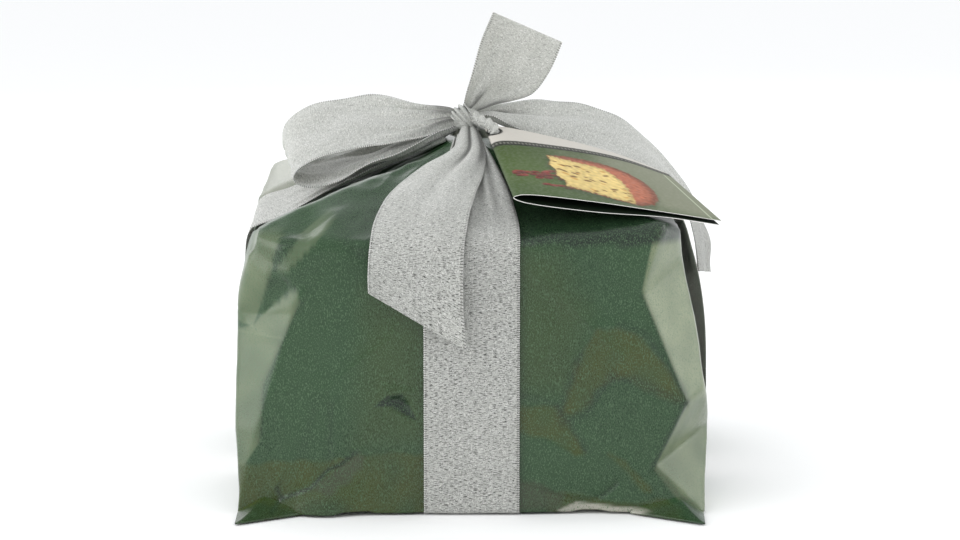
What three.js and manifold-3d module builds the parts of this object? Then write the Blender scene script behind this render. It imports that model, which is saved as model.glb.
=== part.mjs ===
// Gift-wrapped tall panettone: a dome-topped loaf in its paper baking mould, a crisp
// film wrapper folded round it, one broad woven ribbon crossed under the base and tied
// in a bow above the gathered top, and a folded leaflet hung from the knot.
// Millimetres, +Z up, front face towards -Y, origin on the floor under the centre.

import * as THREE from "three";
import { mergeVertices } from "three/addons/utils/BufferGeometryUtils.js";
import Module from "manifold-3d";

const wasm = await Module();
wasm.setup();

// ---------------------------------------------------------------- driving dimensions

const GAP = 0.3; // clearance between two touching pieces
const RIBBON_WIDTH = 39;
const RIBBON_THICKNESS = 0.8;
const BAND_CENTRE_X = -1; // the front-to-back ribbon lies a little left of centre

const MOULD_RADIUS = 84;
const MOULD_WALL = 0.9;
const MOULD_HEIGHT = 97;
const MOULD_TAPER = 2; // how much narrower the base is, on the radius
const DOME_START_BELOW_RIM = 3;
const DOME_RISE = 29;
const DOME_FULLNESS = 0.62; // exponent of the dome's profile, lower is flatter on top

const FILM_WALL = 0.9;
const FILM_FLOOR = 3.6; // layers of film folded over each other under the base
const HALF_DEPTH = 89;
const FRONT_LEAN = 0.0135; // how far the front panel leans back for each unit of height
const LEFT_X = -98;
const RIGHT_X = 99.6;
const RIGHT_FOOT_X = 93;
const RIGHT_BELLY_Z = 30;
const SHOULDER_Z = 112; // height of the front panel's top edge
const NECK_Z = 146.5; // the film is gathered here, under the knot
const NECK = [-3.5, -5];
const MOUTH_RADIUS = 4;

const KNOT_CENTRE = [-3.5, -5, 154.5];
const KNOT_RADII = [6.8, 6.8, 5.4];

const LEAF_THICKNESS = 0.7;
const HOLE_CENTRE = [8.4, -20.4];
const HOLE_RADIUS = 3.2;
const TIE_RADIUS = 1.4;

// ---------------------------------------------------------------- materials

const material = {
  film: new THREE.MeshStandardMaterial({ color: 0x2f4a34, roughness: 0.25, metalness: 0 }),
  ribbon: new THREE.MeshStandardMaterial({ color: 0xbfc1bb, roughness: 0.45, metalness: 0.6 }),
  crust: new THREE.MeshStandardMaterial({ color: 0x8a4a1f, roughness: 0.7, metalness: 0 }),
  mould: new THREE.MeshStandardMaterial({ color: 0x5a3520, roughness: 0.85, metalness: 0 }),
  card: new THREE.MeshStandardMaterial({ color: 0x6f7c52, roughness: 0.4, metalness: 0 }),
};

// ---------------------------------------------------------------- solids and meshes

const model = new THREE.Group();

function addPiece(name, geometry, finish) {
  geometry.computeVertexNormals();
  const mesh = new THREE.Mesh(geometry, finish);
  mesh.name = name;
  model.add(mesh);
  return mesh;
}

function toSolid(geometry) {
  const bare = geometry.clone();
  bare.deleteAttribute("normal");
  bare.deleteAttribute("uv");
  const merged = mergeVertices(bare, 1e-4);
  return new wasm.Manifold(
    new wasm.Mesh({
      numProp: 3,
      vertProperties: new Float32Array(merged.attributes.position.array),
      triVerts: new Uint32Array(merged.index.array),
    }),
  );
}

function toGeometry(solid) {
  const cut = solid.getMesh();
  const geometry = new THREE.BufferGeometry();
  geometry.setAttribute("position", new THREE.BufferAttribute(cut.vertProperties, 3));
  geometry.setIndex(new THREE.BufferAttribute(cut.triVerts, 1));
  return geometry;
}

function box(low, high) {
  const size = high.map((value, axis) => value - low[axis]);
  const geometry = new THREE.BoxGeometry(...size);
  geometry.translate(...low.map((value, axis) => value + size[axis] / 2));
  return geometry;
}

function uprightCylinder(radius, centre, bottom, top) {
  const geometry = new THREE.CylinderGeometry(radius, radius, top - bottom, 24);
  geometry.rotateX(Math.PI / 2);
  geometry.translate(centre[0], centre[1], (bottom + top) / 2);
  return geometry;
}

// ---------------------------------------------------------------- wrapper

// The front panel's depth at a given height.
const frontY = (z) => -HALF_DEPTH + FRONT_LEAN * z;
const onFront = (x, z) => [x, frontY(z), z];

// The back panel is the front one turned half round, and its right corner the front left one.
const turned = ([x, y, z]) => [-x, -y, z];

// Corners of the folds. A facet is a plane through three points.
const rightFold = {
  top: onFront(75.5, 117),
  notch: onFront(68, 91),
  knee: onFront(87, 46),
  lowNotch: onFront(73.5, 20),
  foot: onFront(92, 2),
  side: [87, -60, 102],
  belly: [RIGHT_X, -50, RIGHT_BELLY_Z],
};
const leftFold = {
  top: onFront(-80.4, 115),
  notch: onFront(-72, 91),
  foot: onFront(-93, 21),
  side: [-90, -74, 79.7],
};

// Upper and lower valley folds of the right front corner.
const rightCorner = [
  [
    [rightFold.top, rightFold.notch, rightFold.side],
    [rightFold.notch, rightFold.knee, rightFold.side],
  ],
  [
    [rightFold.knee, rightFold.lowNotch, rightFold.belly],
    [rightFold.lowNotch, rightFold.foot, rightFold.belly],
  ],
];

// The upper left front edge slopes in, and the back left corner is nearly square.
const leftShoulder = [[[-97.5, -70, 86], [-90.5, -62, 114], [-96, -10, 114]]];
const backLeftCorner = [[[-97.5, 78, 0], [-97, 78, 110], [-86, 88.4, 60]]];

// The left front corner has one valley fold.
const leftCorner = [
  [
    [leftFold.top, leftFold.notch, leftFold.side],
    [leftFold.notch, leftFold.foot, leftFold.side],
  ],
];

// Roof panels. Each pair meets in the valley that a ribbon band presses into the film.
const roofLeftOfBand = [onFront(-80, SHOULDER_Z), onFront(-20, SHOULDER_Z), [-44, -39, 134.6]];
const roofRightOfBand = [onFront(18, SHOULDER_Z), onFront(75.5, 117.5), [18, -10, 148.3]];
const frontRoof = [roofLeftOfBand, roofRightOfBand];
const leftRoof = [
  [[0, 0, 147], [-95, 0, 101.9], [-60, -60, 128.1]],
  [[0, 0, 149], [-95, 0, 109.7], [-60, 60, 138.6]],
];
const rightRoof = [
  [[0, 0, 147], [84.6, 0, 114.9], [60, -60, 125.4]],
  [[0, 0, 147], [84.6, 0, 114.9], [60, 60, 128]],
];

// A group of one plane is a flat facet; a group of two is a pair meeting in a valley.
const facetGroups = [
  [[onFront(-60, 0), onFront(60, 0), onFront(0, SHOULDER_Z)]],
  [[[LEFT_X, -60, 0], [LEFT_X, 60, 0], [LEFT_X, 0, 95]]],
  [[[LEFT_X, -60, 95], [LEFT_X, 60, 95], [-95, 0, 115]]],
  [[[RIGHT_X, -60, RIGHT_BELLY_Z], [RIGHT_X, 60, RIGHT_BELLY_Z], [84.7, 0, 115]]],
  [[[RIGHT_X, -60, RIGHT_BELLY_Z], [RIGHT_X, 60, RIGHT_BELLY_Z], [RIGHT_FOOT_X, 0, 0]]],
  [[[-60, 0, NECK_Z], [60, 0, NECK_Z], [0, 60, NECK_Z]]],
  ...rightCorner,
  ...leftCorner,
  leftShoulder,
  backLeftCorner,
  frontRoof,
  leftRoof,
  rightRoof,
];
facetGroups.push(
  ...[facetGroups[0], ...leftCorner, frontRoof].map((group) =>
    group.map((plane) => plane.map(turned)),
  ),
);

const BODY_CENTRE = new THREE.Vector3(0, 0, 60);
const CUTTER_SIZE = 600;
const FAR = 130; // a distance beyond every face of the parcel
const DRILL_FROM_Z = 130; // height range of the upright holes near the knot
const DRILL_TO_Z = 170;

// A large block standing on the outer side of a facet, moved out by the given distance.
function outerBlock(points, distance) {
  const [a, b, c] = points.map((point) => new THREE.Vector3(...point));
  const normal = b.clone().sub(a).cross(c.clone().sub(a)).normalize();
  if (normal.dot(a.clone().sub(BODY_CENTRE)) < 0) {
    normal.negate();
  }
  const geometry = new THREE.BoxGeometry(CUTTER_SIZE, CUTTER_SIZE, CUTTER_SIZE);
  geometry.applyQuaternion(
    new THREE.Quaternion().setFromUnitVectors(new THREE.Vector3(0, 0, 1), normal),
  );
  const centre = a.addScaledVector(normal, distance + CUTTER_SIZE / 2);
  geometry.translate(centre.x, centre.y, centre.z);
  return toSolid(geometry);
}

// The faceted body, grown by the given distance, standing on the given floor height.
function facetedBody(distance, floor) {
  let body = toSolid(box([-FAR, -FAR, floor], [FAR, FAR, 2 * FAR]));
  for (const group of facetGroups) {
    const blocks = group.map((plane) => outerBlock(plane, distance));
    const cutter = blocks.length === 1 ? blocks[0] : blocks[0].intersect(blocks[1]);
    body = body.subtract(cutter);
  }
  return body;
}

const EAR_THICKNESS = 2.4;

// A small triangular ear of folded film that pokes out along the floor at a corner.
function ear(corners) {
  const outline = new THREE.Shape(corners.map(([x, y]) => new THREE.Vector2(x, y)));
  return toSolid(
    new THREE.ExtrudeGeometry(outline, { depth: EAR_THICKNESS, bevelEnabled: false }),
  );
}

const leftEar = [[-97, -78], [-94.5, -97], [-79, -87.5]];
const rightEar = [[92.4, -78], [74.5, -87.5], [91.7, -97]];
const backEars = [leftEar, rightEar].map((corners) => corners.map(([x, y]) => [-x, -y]));

// Channels in the folded base that hold the two crossing ribbons flush with the floor.
const LENGTHWISE_Z = [0, RIBBON_THICKNESS];
const CROSSWISE_Z = [RIBBON_THICKNESS + GAP, 2 * RIBBON_THICKNESS + GAP];
const halfRibbon = RIBBON_WIDTH / 2;

function wrapperGeometry() {
  let film = facetedBody(0, 0);
  for (const corners of [leftEar, rightEar, ...backEars]) {
    film = film.add(ear(corners));
  }
  film = film.subtract(facetedBody(-FILM_WALL, FILM_FLOOR));
  film = film.subtract(toSolid(uprightCylinder(MOUTH_RADIUS, NECK, DRILL_FROM_Z, DRILL_TO_Z)));
  const side = halfRibbon + 2 * GAP;
  const lengthwise = box(
    [BAND_CENTRE_X - side, -FAR, -1],
    [BAND_CENTRE_X + side, FAR, LENGTHWISE_Z[1] + GAP],
  );
  const crosswise = box([-FAR, -side, -1], [FAR, side, CROSSWISE_Z[1] + GAP]);
  film = film.subtract(toSolid(lengthwise)).subtract(toSolid(crosswise));
  return toGeometry(film);
}

addPiece("wrapper", wrapperGeometry(), material.film);

// ---------------------------------------------------------------- loaf and mould

const MOULD_FLOOR_Z = FILM_FLOOR + GAP;
const RIM_Z = MOULD_FLOOR_Z + MOULD_HEIGHT;

function mouldGeometry() {
  const inner = MOULD_RADIUS - MOULD_WALL;
  const profile = [
    [0, MOULD_FLOOR_Z],
    [MOULD_RADIUS - MOULD_TAPER, MOULD_FLOOR_Z],
    [MOULD_RADIUS, RIM_Z],
    [inner, RIM_Z],
    [inner - MOULD_TAPER, MOULD_FLOOR_Z + MOULD_WALL],
    [0, MOULD_FLOOR_Z + MOULD_WALL],
  ];
  const geometry = new THREE.LatheGeometry(profile.map(([r, z]) => new THREE.Vector2(r, z)), 48);
  return geometry.rotateX(Math.PI / 2);
}

// Straight sides inside the mould, then a dome: rise * (1 - (r / radius)^2)^fullness.
function loafGeometry() {
  const radius = MOULD_RADIUS - MOULD_WALL - 2 * GAP;
  const floor = MOULD_FLOOR_Z + MOULD_WALL + GAP;
  const shoulder = RIM_Z - DOME_START_BELOW_RIM;
  const profile = [[0, floor], [radius - MOULD_TAPER, floor], [radius, shoulder]];
  const steps = 9;
  for (let step = 1; step < steps; step += 1) {
    const share = Math.cos((step / steps) * (Math.PI / 2));
    const height = DOME_RISE * (1 - share ** 2) ** DOME_FULLNESS;
    profile.push([radius * share, shoulder + height]);
  }
  profile.push([0, shoulder + DOME_RISE]);
  const geometry = new THREE.LatheGeometry(profile.map(([r, z]) => new THREE.Vector2(r, z)), 40);
  return geometry.rotateX(Math.PI / 2);
}

addPiece("baking_mould", mouldGeometry(), material.mould);
addPiece("panettone_loaf", loafGeometry(), material.crust);

// ---------------------------------------------------------------- flat strands

// A thin closed strip between two edge curves that run through the same number of stations.
function stripGeometry({ edges, rows, columns = 4, thickness = RIBBON_THICKNESS }) {
  const curves = edges.map(
    (points) => new THREE.CatmullRomCurve3(points.map((p) => new THREE.Vector3(...p))),
  );
  const upper = [];
  const lower = [];
  for (let row = 0; row <= rows; row += 1) {
    const u = row / rows;
    const [a, b] = curves.map((curve) => curve.getPoint(u));
    const along = curves[0].getTangent(u).add(curves[1].getTangent(u));
    const across = b.clone().sub(a);
    const normal = along.cross(across).normalize();
    for (let column = 0; column <= columns; column += 1) {
      const middle = a.clone().lerp(b, column / columns);
      upper.push(middle.clone().addScaledVector(normal, thickness / 2));
      lower.push(middle.clone().addScaledVector(normal, -thickness / 2));
    }
  }
  const stride = columns + 1;
  const half = upper.length;
  const indices = [];
  const quad = (p, q, r, s) => indices.push(p, q, r, p, r, s);
  for (let row = 0; row < rows; row += 1) {
    for (let column = 0; column < columns; column += 1) {
      const corner = row * stride + column;
      const [p, q, r, s] = [corner, corner + stride, corner + stride + 1, corner + 1];
      quad(p, q, r, s);
      quad(half + p, half + s, half + r, half + q);
    }
    const first = row * stride;
    const last = first + columns;
    quad(first, half + first, half + first + stride, first + stride);
    quad(last, last + stride, half + last + stride, half + last);
  }
  for (let column = 0; column < columns; column += 1) {
    const end = rows * stride + column;
    quad(column, column + 1, half + column + 1, half + column);
    quad(end, half + end, half + end + 1, end + 1);
  }
  const geometry = new THREE.BufferGeometry();
  const positions = [...upper, ...lower].flatMap((point) => point.toArray());
  geometry.setAttribute("position", new THREE.Float32BufferAttribute(positions, 3));
  geometry.setIndex(indices);
  return geometry;
}

// ---------------------------------------------------------------- ribbon round the parcel

addPiece(
  "ribbon_under_lengthwise",
  box(
    [BAND_CENTRE_X - halfRibbon, -HALF_DEPTH - GAP, LENGTHWISE_Z[0]],
    [BAND_CENTRE_X + halfRibbon, HALF_DEPTH + GAP, LENGTHWISE_Z[1]],
  ),
  material.ribbon,
);
addPiece(
  "ribbon_under_crosswise",
  box([LEFT_X - GAP, -halfRibbon, CROSSWISE_Z[0]], [RIGHT_FOOT_X + GAP, halfRibbon, CROSSWISE_Z[1]]),
  material.ribbon,
);

// A band's two edges, from the ribbon's centre and half width at each station. A third
// entry is how far the band's back edge lies to the right of its centre, and above it.
function bandEdges(stations, acrossX) {
  return [-1, 1].map((side) =>
    stations.map(([[x, y, z], half, [right, up] = [0, 0]]) =>
      acrossX
        ? [x + side * half, y, z]
        : [x + side * right, y + side * half, z + side * up],
    ),
  );
}

const FRONT_BAND = [
  [[BAND_CENTRE_X, -90.3, 0.05], halfRibbon],
  [[BAND_CENTRE_X, -89.9, 40], halfRibbon],
  [[BAND_CENTRE_X, -89.4, 80], halfRibbon],
  [[BAND_CENTRE_X, -89.1, 106], halfRibbon],
  [[BAND_CENTRE_X, -87.6, 113.6], halfRibbon],
  [[BAND_CENTRE_X, -74, 120], 18.8],
  [[BAND_CENTRE_X, -52, 130.6], 15],
  [[-1.6, -32, 140], 10],
  [[-3, -14, 147.9], 5.5],
];
const BACK_BAND = [
  [[BAND_CENTRE_X, 90.3, 0.05], halfRibbon],
  [[BAND_CENTRE_X, 89.9, 40], halfRibbon],
  [[BAND_CENTRE_X, 89.4, 80], halfRibbon],
  [[BAND_CENTRE_X, 89.1, 106], halfRibbon],
  [[BAND_CENTRE_X, 87.6, 113.6], halfRibbon],
  [[BAND_CENTRE_X, 74, 120], 18.8],
  [[BAND_CENTRE_X, 52, 130.8], 15],
  [[-1.6, 31, 141], 10.5],
  [[-2.4, 16, 147.8], 7.5],
  [[-3, 5, 149.6], 5.5],
];
const LEFT_BAND = [
  [[-99.2, 0, 0.05], halfRibbon],
  [[-99.2, 0, 40], halfRibbon],
  [[-99.2, 0, 84], halfRibbon],
  [[-98.9, 0, 97], halfRibbon],
  [[-98, 0, 105.4], halfRibbon, [0, 1]],
  [[-96, 0, 112], halfRibbon, [0, 3.6]],
  [[-93, 0, 114], halfRibbon, [0, 4]],
  [[-84, 0, 117], 19.2, [0, 3.8]],
  [[-62, 0, 127], 17.5, [0, 2.2]],
  [[-36, -1, 137.8], 13, [0, 1]],
  [[-13, -3, 147], 6, [0, 0.6]],
];
const RIGHT_BAND = [
  [[94.3, 0, 0.05], halfRibbon],
  [[98.2, 0, 16], halfRibbon],
  [[100.5, 0, 32], halfRibbon],
  [[99.8, 0, 50], halfRibbon, [-0.8, 0]],
  [[98.2, 0, 66], halfRibbon, [-1.8, 0]],
  [[95.2, 0, 84], halfRibbon, [-2.6, 0]],
  [[91.4, 0, 100], halfRibbon, [-2.5, 0]],
  [[86.6, 0, 116.4], halfRibbon, [-0.8, 0]],
  [[70, -0.5, 125.2], 18],
  [[38, -2, 137], 13],
  [[8, -3, 147.4], 5.5],
];

for (const [name, stations, acrossX] of [
  ["ribbon_front_band", FRONT_BAND, true],
  ["ribbon_back_band", BACK_BAND, true],
  ["ribbon_left_band", LEFT_BAND, false],
  ["ribbon_right_band", RIGHT_BAND, false],
]) {
  const edges = bandEdges(stations, acrossX);
  addPiece(name, stripGeometry({ edges, rows: 3 * (stations.length - 1) }), material.ribbon);
}

// ---------------------------------------------------------------- knot and bow

function knotGeometry(growth) {
  const geometry = new THREE.SphereGeometry(1, 20, 12);
  geometry.rotateX(Math.PI / 2);
  geometry.scale(...KNOT_RADII.map((radius) => radius + growth));
  return geometry.translate(...KNOT_CENTRE);
}

addPiece("ribbon_knot", knotGeometry(0), material.ribbon);

// Every free strand starts inside the knot and is trimmed back to a gap round it.
const knotRoom = toSolid(knotGeometry(GAP));
const trimmed = (geometry) => toGeometry(toSolid(geometry).subtract(knotRoom));

// The loop: out to the left above, round its end and back to the knot below.
const LEFT_LOOP = [
  [
    [-6, -7, 153.5],
    [-14, -9.5, 151],
    [-24, -12, 147.6],
    [-38, -15, 144.4],
    [-54, -17, 142.2],
    [-68, -18, 138.6],
    [-76.5, -18.3, 133.4],
    [-77.6, -18.6, 129.4],
    [-72, -19.4, 127],
    [-60.5, -20, 128.6],
    [-48, -19.6, 134],
    [-37, -18, 138.6],
    [-24, -13.5, 143.6],
    [-14, -9, 148.4],
    [-6, -7, 151],
  ],
  [
    [-6, -2, 157.2],
    [-13, 4, 158.4],
    [-22, 10, 159.6],
    [-40, 17, 162.6],
    [-58, 20, 161.4],
    [-74, 19, 157],
    [-83.6, 17.5, 149.6],
    [-84.6, 17, 140.6],
    [-77, 17, 138],
    [-64, 17.5, 138.4],
    [-50, 16.5, 141],
    [-38, 13, 143],
    [-25, 7.5, 145.6],
    [-14, 1, 149.4],
    [-6, -3, 152],
  ],
];

const FRONT_TAIL = [
  [
    [-5, -7, 152.5],
    [-6.5, -15, 149.6],
    [-9, -27, 144.4],
    [-22, -43, 138],
    [-32, -58, 132],
    [-39.5, -78, 123],
    [-42, -92, 111.5],
    [-42.7, -95, 101],
    [-42.7, -95, 92.8],
  ],
  [
    [0, -7, 152.5],
    [2.6, -15, 149],
    [4.8, -30, 143.4],
    [4, -46, 137],
    [1, -62, 130.6],
    [-2, -80, 122.9],
    [-4, -93.4, 111],
    [-4.4, -95.8, 90],
    [-3.2, -95.8, 69.6],
  ],
];

const RIGHT_TAIL = [
  [
    [-1, -6, 155],
    [6, -6.6, 154.8],
    [16, -9.4, 152],
    [30, -12.6, 148],
    [55, -15.8, 141.8],
    [72.6, -17, 135.6],
    [84, -17, 128.6],
    [89.8, -16, 120],
    [94.2, -13, 105],
    [97.4, -12, 88.7],
  ],
  [
    [-1, -2, 157],
    [5, 2.5, 158.6],
    [16, 9, 160],
    [30.7, 14, 160.5],
    [54.7, 18, 156.8],
    [72, 20, 147],
    [87, 20.5, 131.5],
    [98.5, 21, 113.4],
    [105.2, 22, 97],
    [106, 22, 83],
  ],
];

const UP_TAIL = [
  [
    [-5, -5, 157],
    [-4.4, -6, 162.6],
    [-2.6, -7, 170],
    [0, -8, 179],
    [3.3, -9, 189.4],
    [8, -10, 201],
  ],
  [
    [-1.5, -4, 157],
    [8, -2, 160.2],
    [17, 2, 161.8],
    [25.6, 5, 164.6],
    [32, 8, 172.6],
    [38.4, 12, 186.6],
  ],
];

for (const [name, edges] of [
  ["bow_left_loop", LEFT_LOOP],
  ["bow_front_tail", FRONT_TAIL],
  ["bow_right_tail", RIGHT_TAIL],
  ["bow_up_tail", UP_TAIL],
]) {
  const rows = 3 * (edges[0].length - 1);
  addPiece(name, trimmed(stripGeometry({ edges, rows })), material.ribbon);
}

// ---------------------------------------------------------------- leaflet and its tie

// One folded sheet: the cover from its right edge to the spine, then the lower leaf back.
const LEAFLET = [
  [
    [82.7, -22, 132.6],
    [60, -18.4, 141],
    [32, -15.6, 148],
    [7.6, -15.4, 152.2],
    [4.6, -15.6, 151],
    [7.6, -15.6, 149.6],
    [32, -15.8, 145.6],
    [60, -18.6, 138],
    [82, -22.2, 130.4],
  ],
  [
    [101, -75, 119.4],
    [80, -78, 123.8],
    [48, -79, 128.8],
    [19, -80, 130.9],
    [16, -80.2, 129.7],
    [19, -80.2, 128.2],
    [48, -81, 124.4],
    [78, -80, 121.9],
    [100, -77, 118],
  ],
];

function leafletGeometry() {
  const sheet = stripGeometry({ edges: LEAFLET, rows: 32, thickness: LEAF_THICKNESS });
  const hole = uprightCylinder(HOLE_RADIUS, HOLE_CENTRE, DRILL_FROM_Z, DRILL_TO_Z);
  return toGeometry(toSolid(sheet).subtract(toSolid(hole)));
}

// A short twisted strand of ribbon from the knot down through the leaflet's hole.
function tieGeometry() {
  const route = [
    [-1, -7, 154],
    [2.6, -10, 155],
    [5.6, -13.6, 155.2],
    [7.8, -17.4, 154.4],
    [HOLE_CENTRE[0], HOLE_CENTRE[1], 151],
    [HOLE_CENTRE[0] + 0.2, HOLE_CENTRE[1] - 0.4, 147],
  ];
  const path = new THREE.CatmullRomCurve3(route.map((point) => new THREE.Vector3(...point)));
  const section = new THREE.Shape();
  section.absarc(0, 0, TIE_RADIUS, 0, 2 * Math.PI);
  return new THREE.ExtrudeGeometry(section, { steps: 12, curveSegments: 8, extrudePath: path });
}

addPiece("leaflet", leafletGeometry(), material.card);
addPiece("leaflet_tie", trimmed(tieGeometry()), material.ribbon);

export default model;
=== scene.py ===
"""Gift-wrapped tall panettone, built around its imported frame.

A dome-topped loaf in its paper mould stands in a folded film wrapper, tied crosswise with one
broad woven ribbon whose bow carries a folded leaflet. Shapes are worked out in millimetres,
with +Z up and the front towards -Y, and are put into meshes in metres.
"""

import math

import bpy
import numpy as np

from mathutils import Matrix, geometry


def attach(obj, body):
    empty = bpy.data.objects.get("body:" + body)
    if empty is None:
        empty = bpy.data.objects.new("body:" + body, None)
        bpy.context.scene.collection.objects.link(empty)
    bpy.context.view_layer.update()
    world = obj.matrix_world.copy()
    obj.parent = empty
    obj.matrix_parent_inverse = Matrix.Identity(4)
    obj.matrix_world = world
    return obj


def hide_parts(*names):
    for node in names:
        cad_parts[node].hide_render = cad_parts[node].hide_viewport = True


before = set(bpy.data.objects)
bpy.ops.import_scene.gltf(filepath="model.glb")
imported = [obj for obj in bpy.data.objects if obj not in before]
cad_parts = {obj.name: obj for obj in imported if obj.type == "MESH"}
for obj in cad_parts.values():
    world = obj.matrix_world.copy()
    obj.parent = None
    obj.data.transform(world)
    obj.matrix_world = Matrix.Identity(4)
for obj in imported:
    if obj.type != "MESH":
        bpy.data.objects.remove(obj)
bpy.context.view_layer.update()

bl_info = {
    "name": "Wrapped Panettone Builder",
    "version": (1, 0, 0),
    "blender": (4, 5, 0),
    "location": "3D View > Sidebar > Parcel",
    "description": "Builds a tall sweet loaf wrapped in film, with its ribbon, bow and leaflet",
    "category": "Add Mesh",
}

MM = 0.001  # metres in a millimetre
BODY = "root"  # the frame's one body, which every piece rides on

# ------------------------------------------------------------------ sizes, in millimetres

RIBBON_WIDTH = 39.0
HALF_RIBBON = RIBBON_WIDTH / 2
TICK_PITCH = 0.95  # between two ticks of the ribbon's selvedge
BAND_CENTRE_X = -1.0
HALF_DEPTH = 89.0
FRONT_LEAN = 0.0135  # how far the front leans back for each millimetre of height
LEFT_X, RIGHT_X, RIGHT_FOOT_X = -98.0, 99.6, 93.0
RIGHT_BELLY_Z = 30.0
SHOULDER_Z = 112.0
NECK_Z = 146.5
NECK = np.array([-3.5, -5.0, NECK_Z])  # where the film gathers under the knot
MOULD_RADIUS, MOULD_TAPER, MOULD_WALL = 84.0, 2.0, 0.5
MOULD_FLOOR_Z, RIM_Z = 3.9, 100.9
LOAF_RADIUS = 82.5
LOAF_FLOOR_Z = MOULD_FLOOR_Z + 1.3
DOME_RISE = 29.0
DOME_FULLNESS = 0.62
BODY_CENTRE = np.array([0.0, 0.0, 60.0])  # outward directions are told from here
FAR = 400.0  # stands for a plane that a ray never meets

# ------------------------------------------------------------------ small numeric tools


def linear(red, green, blue):
    """A colour given as 0 to 255 display values, as a linear colour with alpha."""
    share = np.array([red, green, blue]) / 255.0
    low, high = share / 12.92, ((share + 0.055) / 1.055) ** 2.4
    return (*np.where(share <= 0.04045, low, high).tolist(), 1.0)


def smooth_step(value, low, high):
    """0 below low, 1 above high, and 3x^2 - 2x^3 between them."""
    x = np.clip((value - low) / (high - low), 0.0, 1.0)
    return x * x * (3 - 2 * x)


def bump_at(distance, width):
    """A round bump exp(-(distance / width)^2)."""
    return np.exp(-((distance / width) ** 2))


def blended(colour, over, mask):
    """Colours moved towards another one, by a mask of 0 to 1 at each point."""
    return colour + (np.asarray(over) - colour) * mask[..., None]


def sharpened(wave, share):
    """A wave with a share of it swapped for sign(w) sqrt|w|, which fills its folds out."""
    return (1 - share) * wave + share * np.sign(wave) * np.abs(wave) ** 0.5


def soft_min(values, softness):
    """-k log(sum exp(-v / k)): the least of several arrays, rounded where two are close."""
    stack = np.stack(values)
    least = stack.min(axis=0)
    return least - softness * np.log(np.exp(-(stack - least) / softness).sum(axis=0))


def soft_max(values, softness):
    """The greatest of several arrays, rounded where two are close."""
    return -soft_min([-value for value in values], softness)


def waves(points, size, seed, count=28):
    """Smooth noise of unit spread: count plane waves of random direction, about size long."""
    rng = np.random.default_rng(seed)
    dims = points.shape[-1]
    heading = rng.normal(size=(count, dims))
    heading /= np.linalg.norm(heading, axis=1, keepdims=True)
    heading *= (2 * np.pi / size) * rng.uniform(0.6, 1.5, (count, 1))
    phase = rng.uniform(0, 2 * np.pi, count)
    return np.cos(points @ heading.T + phase).sum(axis=-1) * math.sqrt(2 / count)


def facets(points, seeds, tilt, roundness, seed):
    """Crumpled-sheet noise: the highest of many shallow caps h - q |P - C|^2 + g.(P - C).

    Each cap has its own centre C, height h and slope g. Caps meet in sharp creases.
    """
    rng = np.random.default_rng(seed)
    flat = points.reshape(-1, 3)
    centres = flat[rng.choice(len(flat), seeds, replace=False)]
    slope = rng.normal(0, tilt, (seeds, 3))
    level = rng.normal(0, 0.3, seeds)
    apart = (flat**2).sum(1)[:, None] - 2 * flat @ centres.T + (centres**2).sum(1)
    caps = level + flat @ slope.T - (centres * slope).sum(1) - roundness * apart
    height = caps.max(axis=1)
    return (height - height.mean()).reshape(points.shape[:-1])


def curve(stations, places):
    """Centripetal Catmull-Rom curve through the stations; places run from 0 to 1."""
    p = np.asarray(stations, float)
    spans = len(p) - 1
    padded = np.vstack([2 * p[0] - p[1], p, 2 * p[-1] - p[-2]])
    along = np.clip(places, 0, 1) * spans
    span = np.minimum(along.astype(int), spans - 1)
    w = (along - span)[:, None]
    p0, p1, p2, p3 = (padded[span + k] for k in range(4))
    gap = [
        np.sqrt(np.maximum(np.linalg.norm(b - a, axis=1), 1e-6))[:, None]
        for a, b in ((p0, p1), (p1, p2), (p2, p3))
    ]
    t1 = ((p1 - p0) / gap[0] - (p2 - p0) / (gap[0] + gap[1]) + (p2 - p1) / gap[1]) * gap[1]
    t2 = ((p2 - p1) / gap[1] - (p3 - p1) / (gap[1] + gap[2]) + (p3 - p2) / gap[2]) * gap[1]
    return (
        (2 * w**3 - 3 * w**2 + 1) * p1
        + (w**3 - 2 * w**2 + w) * t1
        + (3 * w**2 - 2 * w**3) * p2
        + (w**3 - w**2) * t2
    )


def running_length(line):
    """Distance along a line of points from its first one."""
    steps = np.linalg.norm(np.diff(line, axis=0), axis=1)
    return np.concatenate([[0.0], np.cumsum(steps)])


def even_places(stations, step):
    """Places that split the curve through the stations into equal steps, and its length."""
    fine = np.linspace(0, 1, 1200)
    length = running_length(curve(stations, fine))
    rows = max(int(length[-1] / step), 8) + 1
    return np.interp(np.linspace(0, length[-1], rows), length, fine), length[-1]


def unit(vectors):
    """Vectors scaled to length 1."""
    return vectors / np.maximum(np.linalg.norm(vectors, axis=-1, keepdims=True), 1e-9)


def grid_normals(points):
    """Unit normals of a grid closed across its columns: the cross product of its directions."""
    down = np.gradient(points, axis=0)
    across = (np.roll(points, -1, axis=1) - np.roll(points, 1, axis=1)) / 2
    return unit(np.cross(across, down))


def polygon_depth(points, corners):
    """How far each 2-D point lies inside a polygon, negative outside."""
    corners = np.asarray(corners, float)
    nearest = np.full(points.shape[:-1], np.inf)
    inside = np.zeros(points.shape[:-1], bool)
    for a, b in zip(corners, np.roll(corners, -1, axis=0)):
        edge, rel = b - a, points - a
        share = np.clip((rel @ edge) / (edge @ edge), 0, 1)
        nearest = np.minimum(nearest, np.linalg.norm(rel - share[..., None] * edge, axis=-1))
        crosses = (a[1] > points[..., 1]) != (b[1] > points[..., 1])
        drop = edge[1] if abs(edge[1]) > 1e-9 else 1e-9
        inside ^= crosses & (points[..., 0] < a[0] + edge[0] * (points[..., 1] - a[1]) / drop)
    return np.where(inside, nearest, -nearest)


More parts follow.
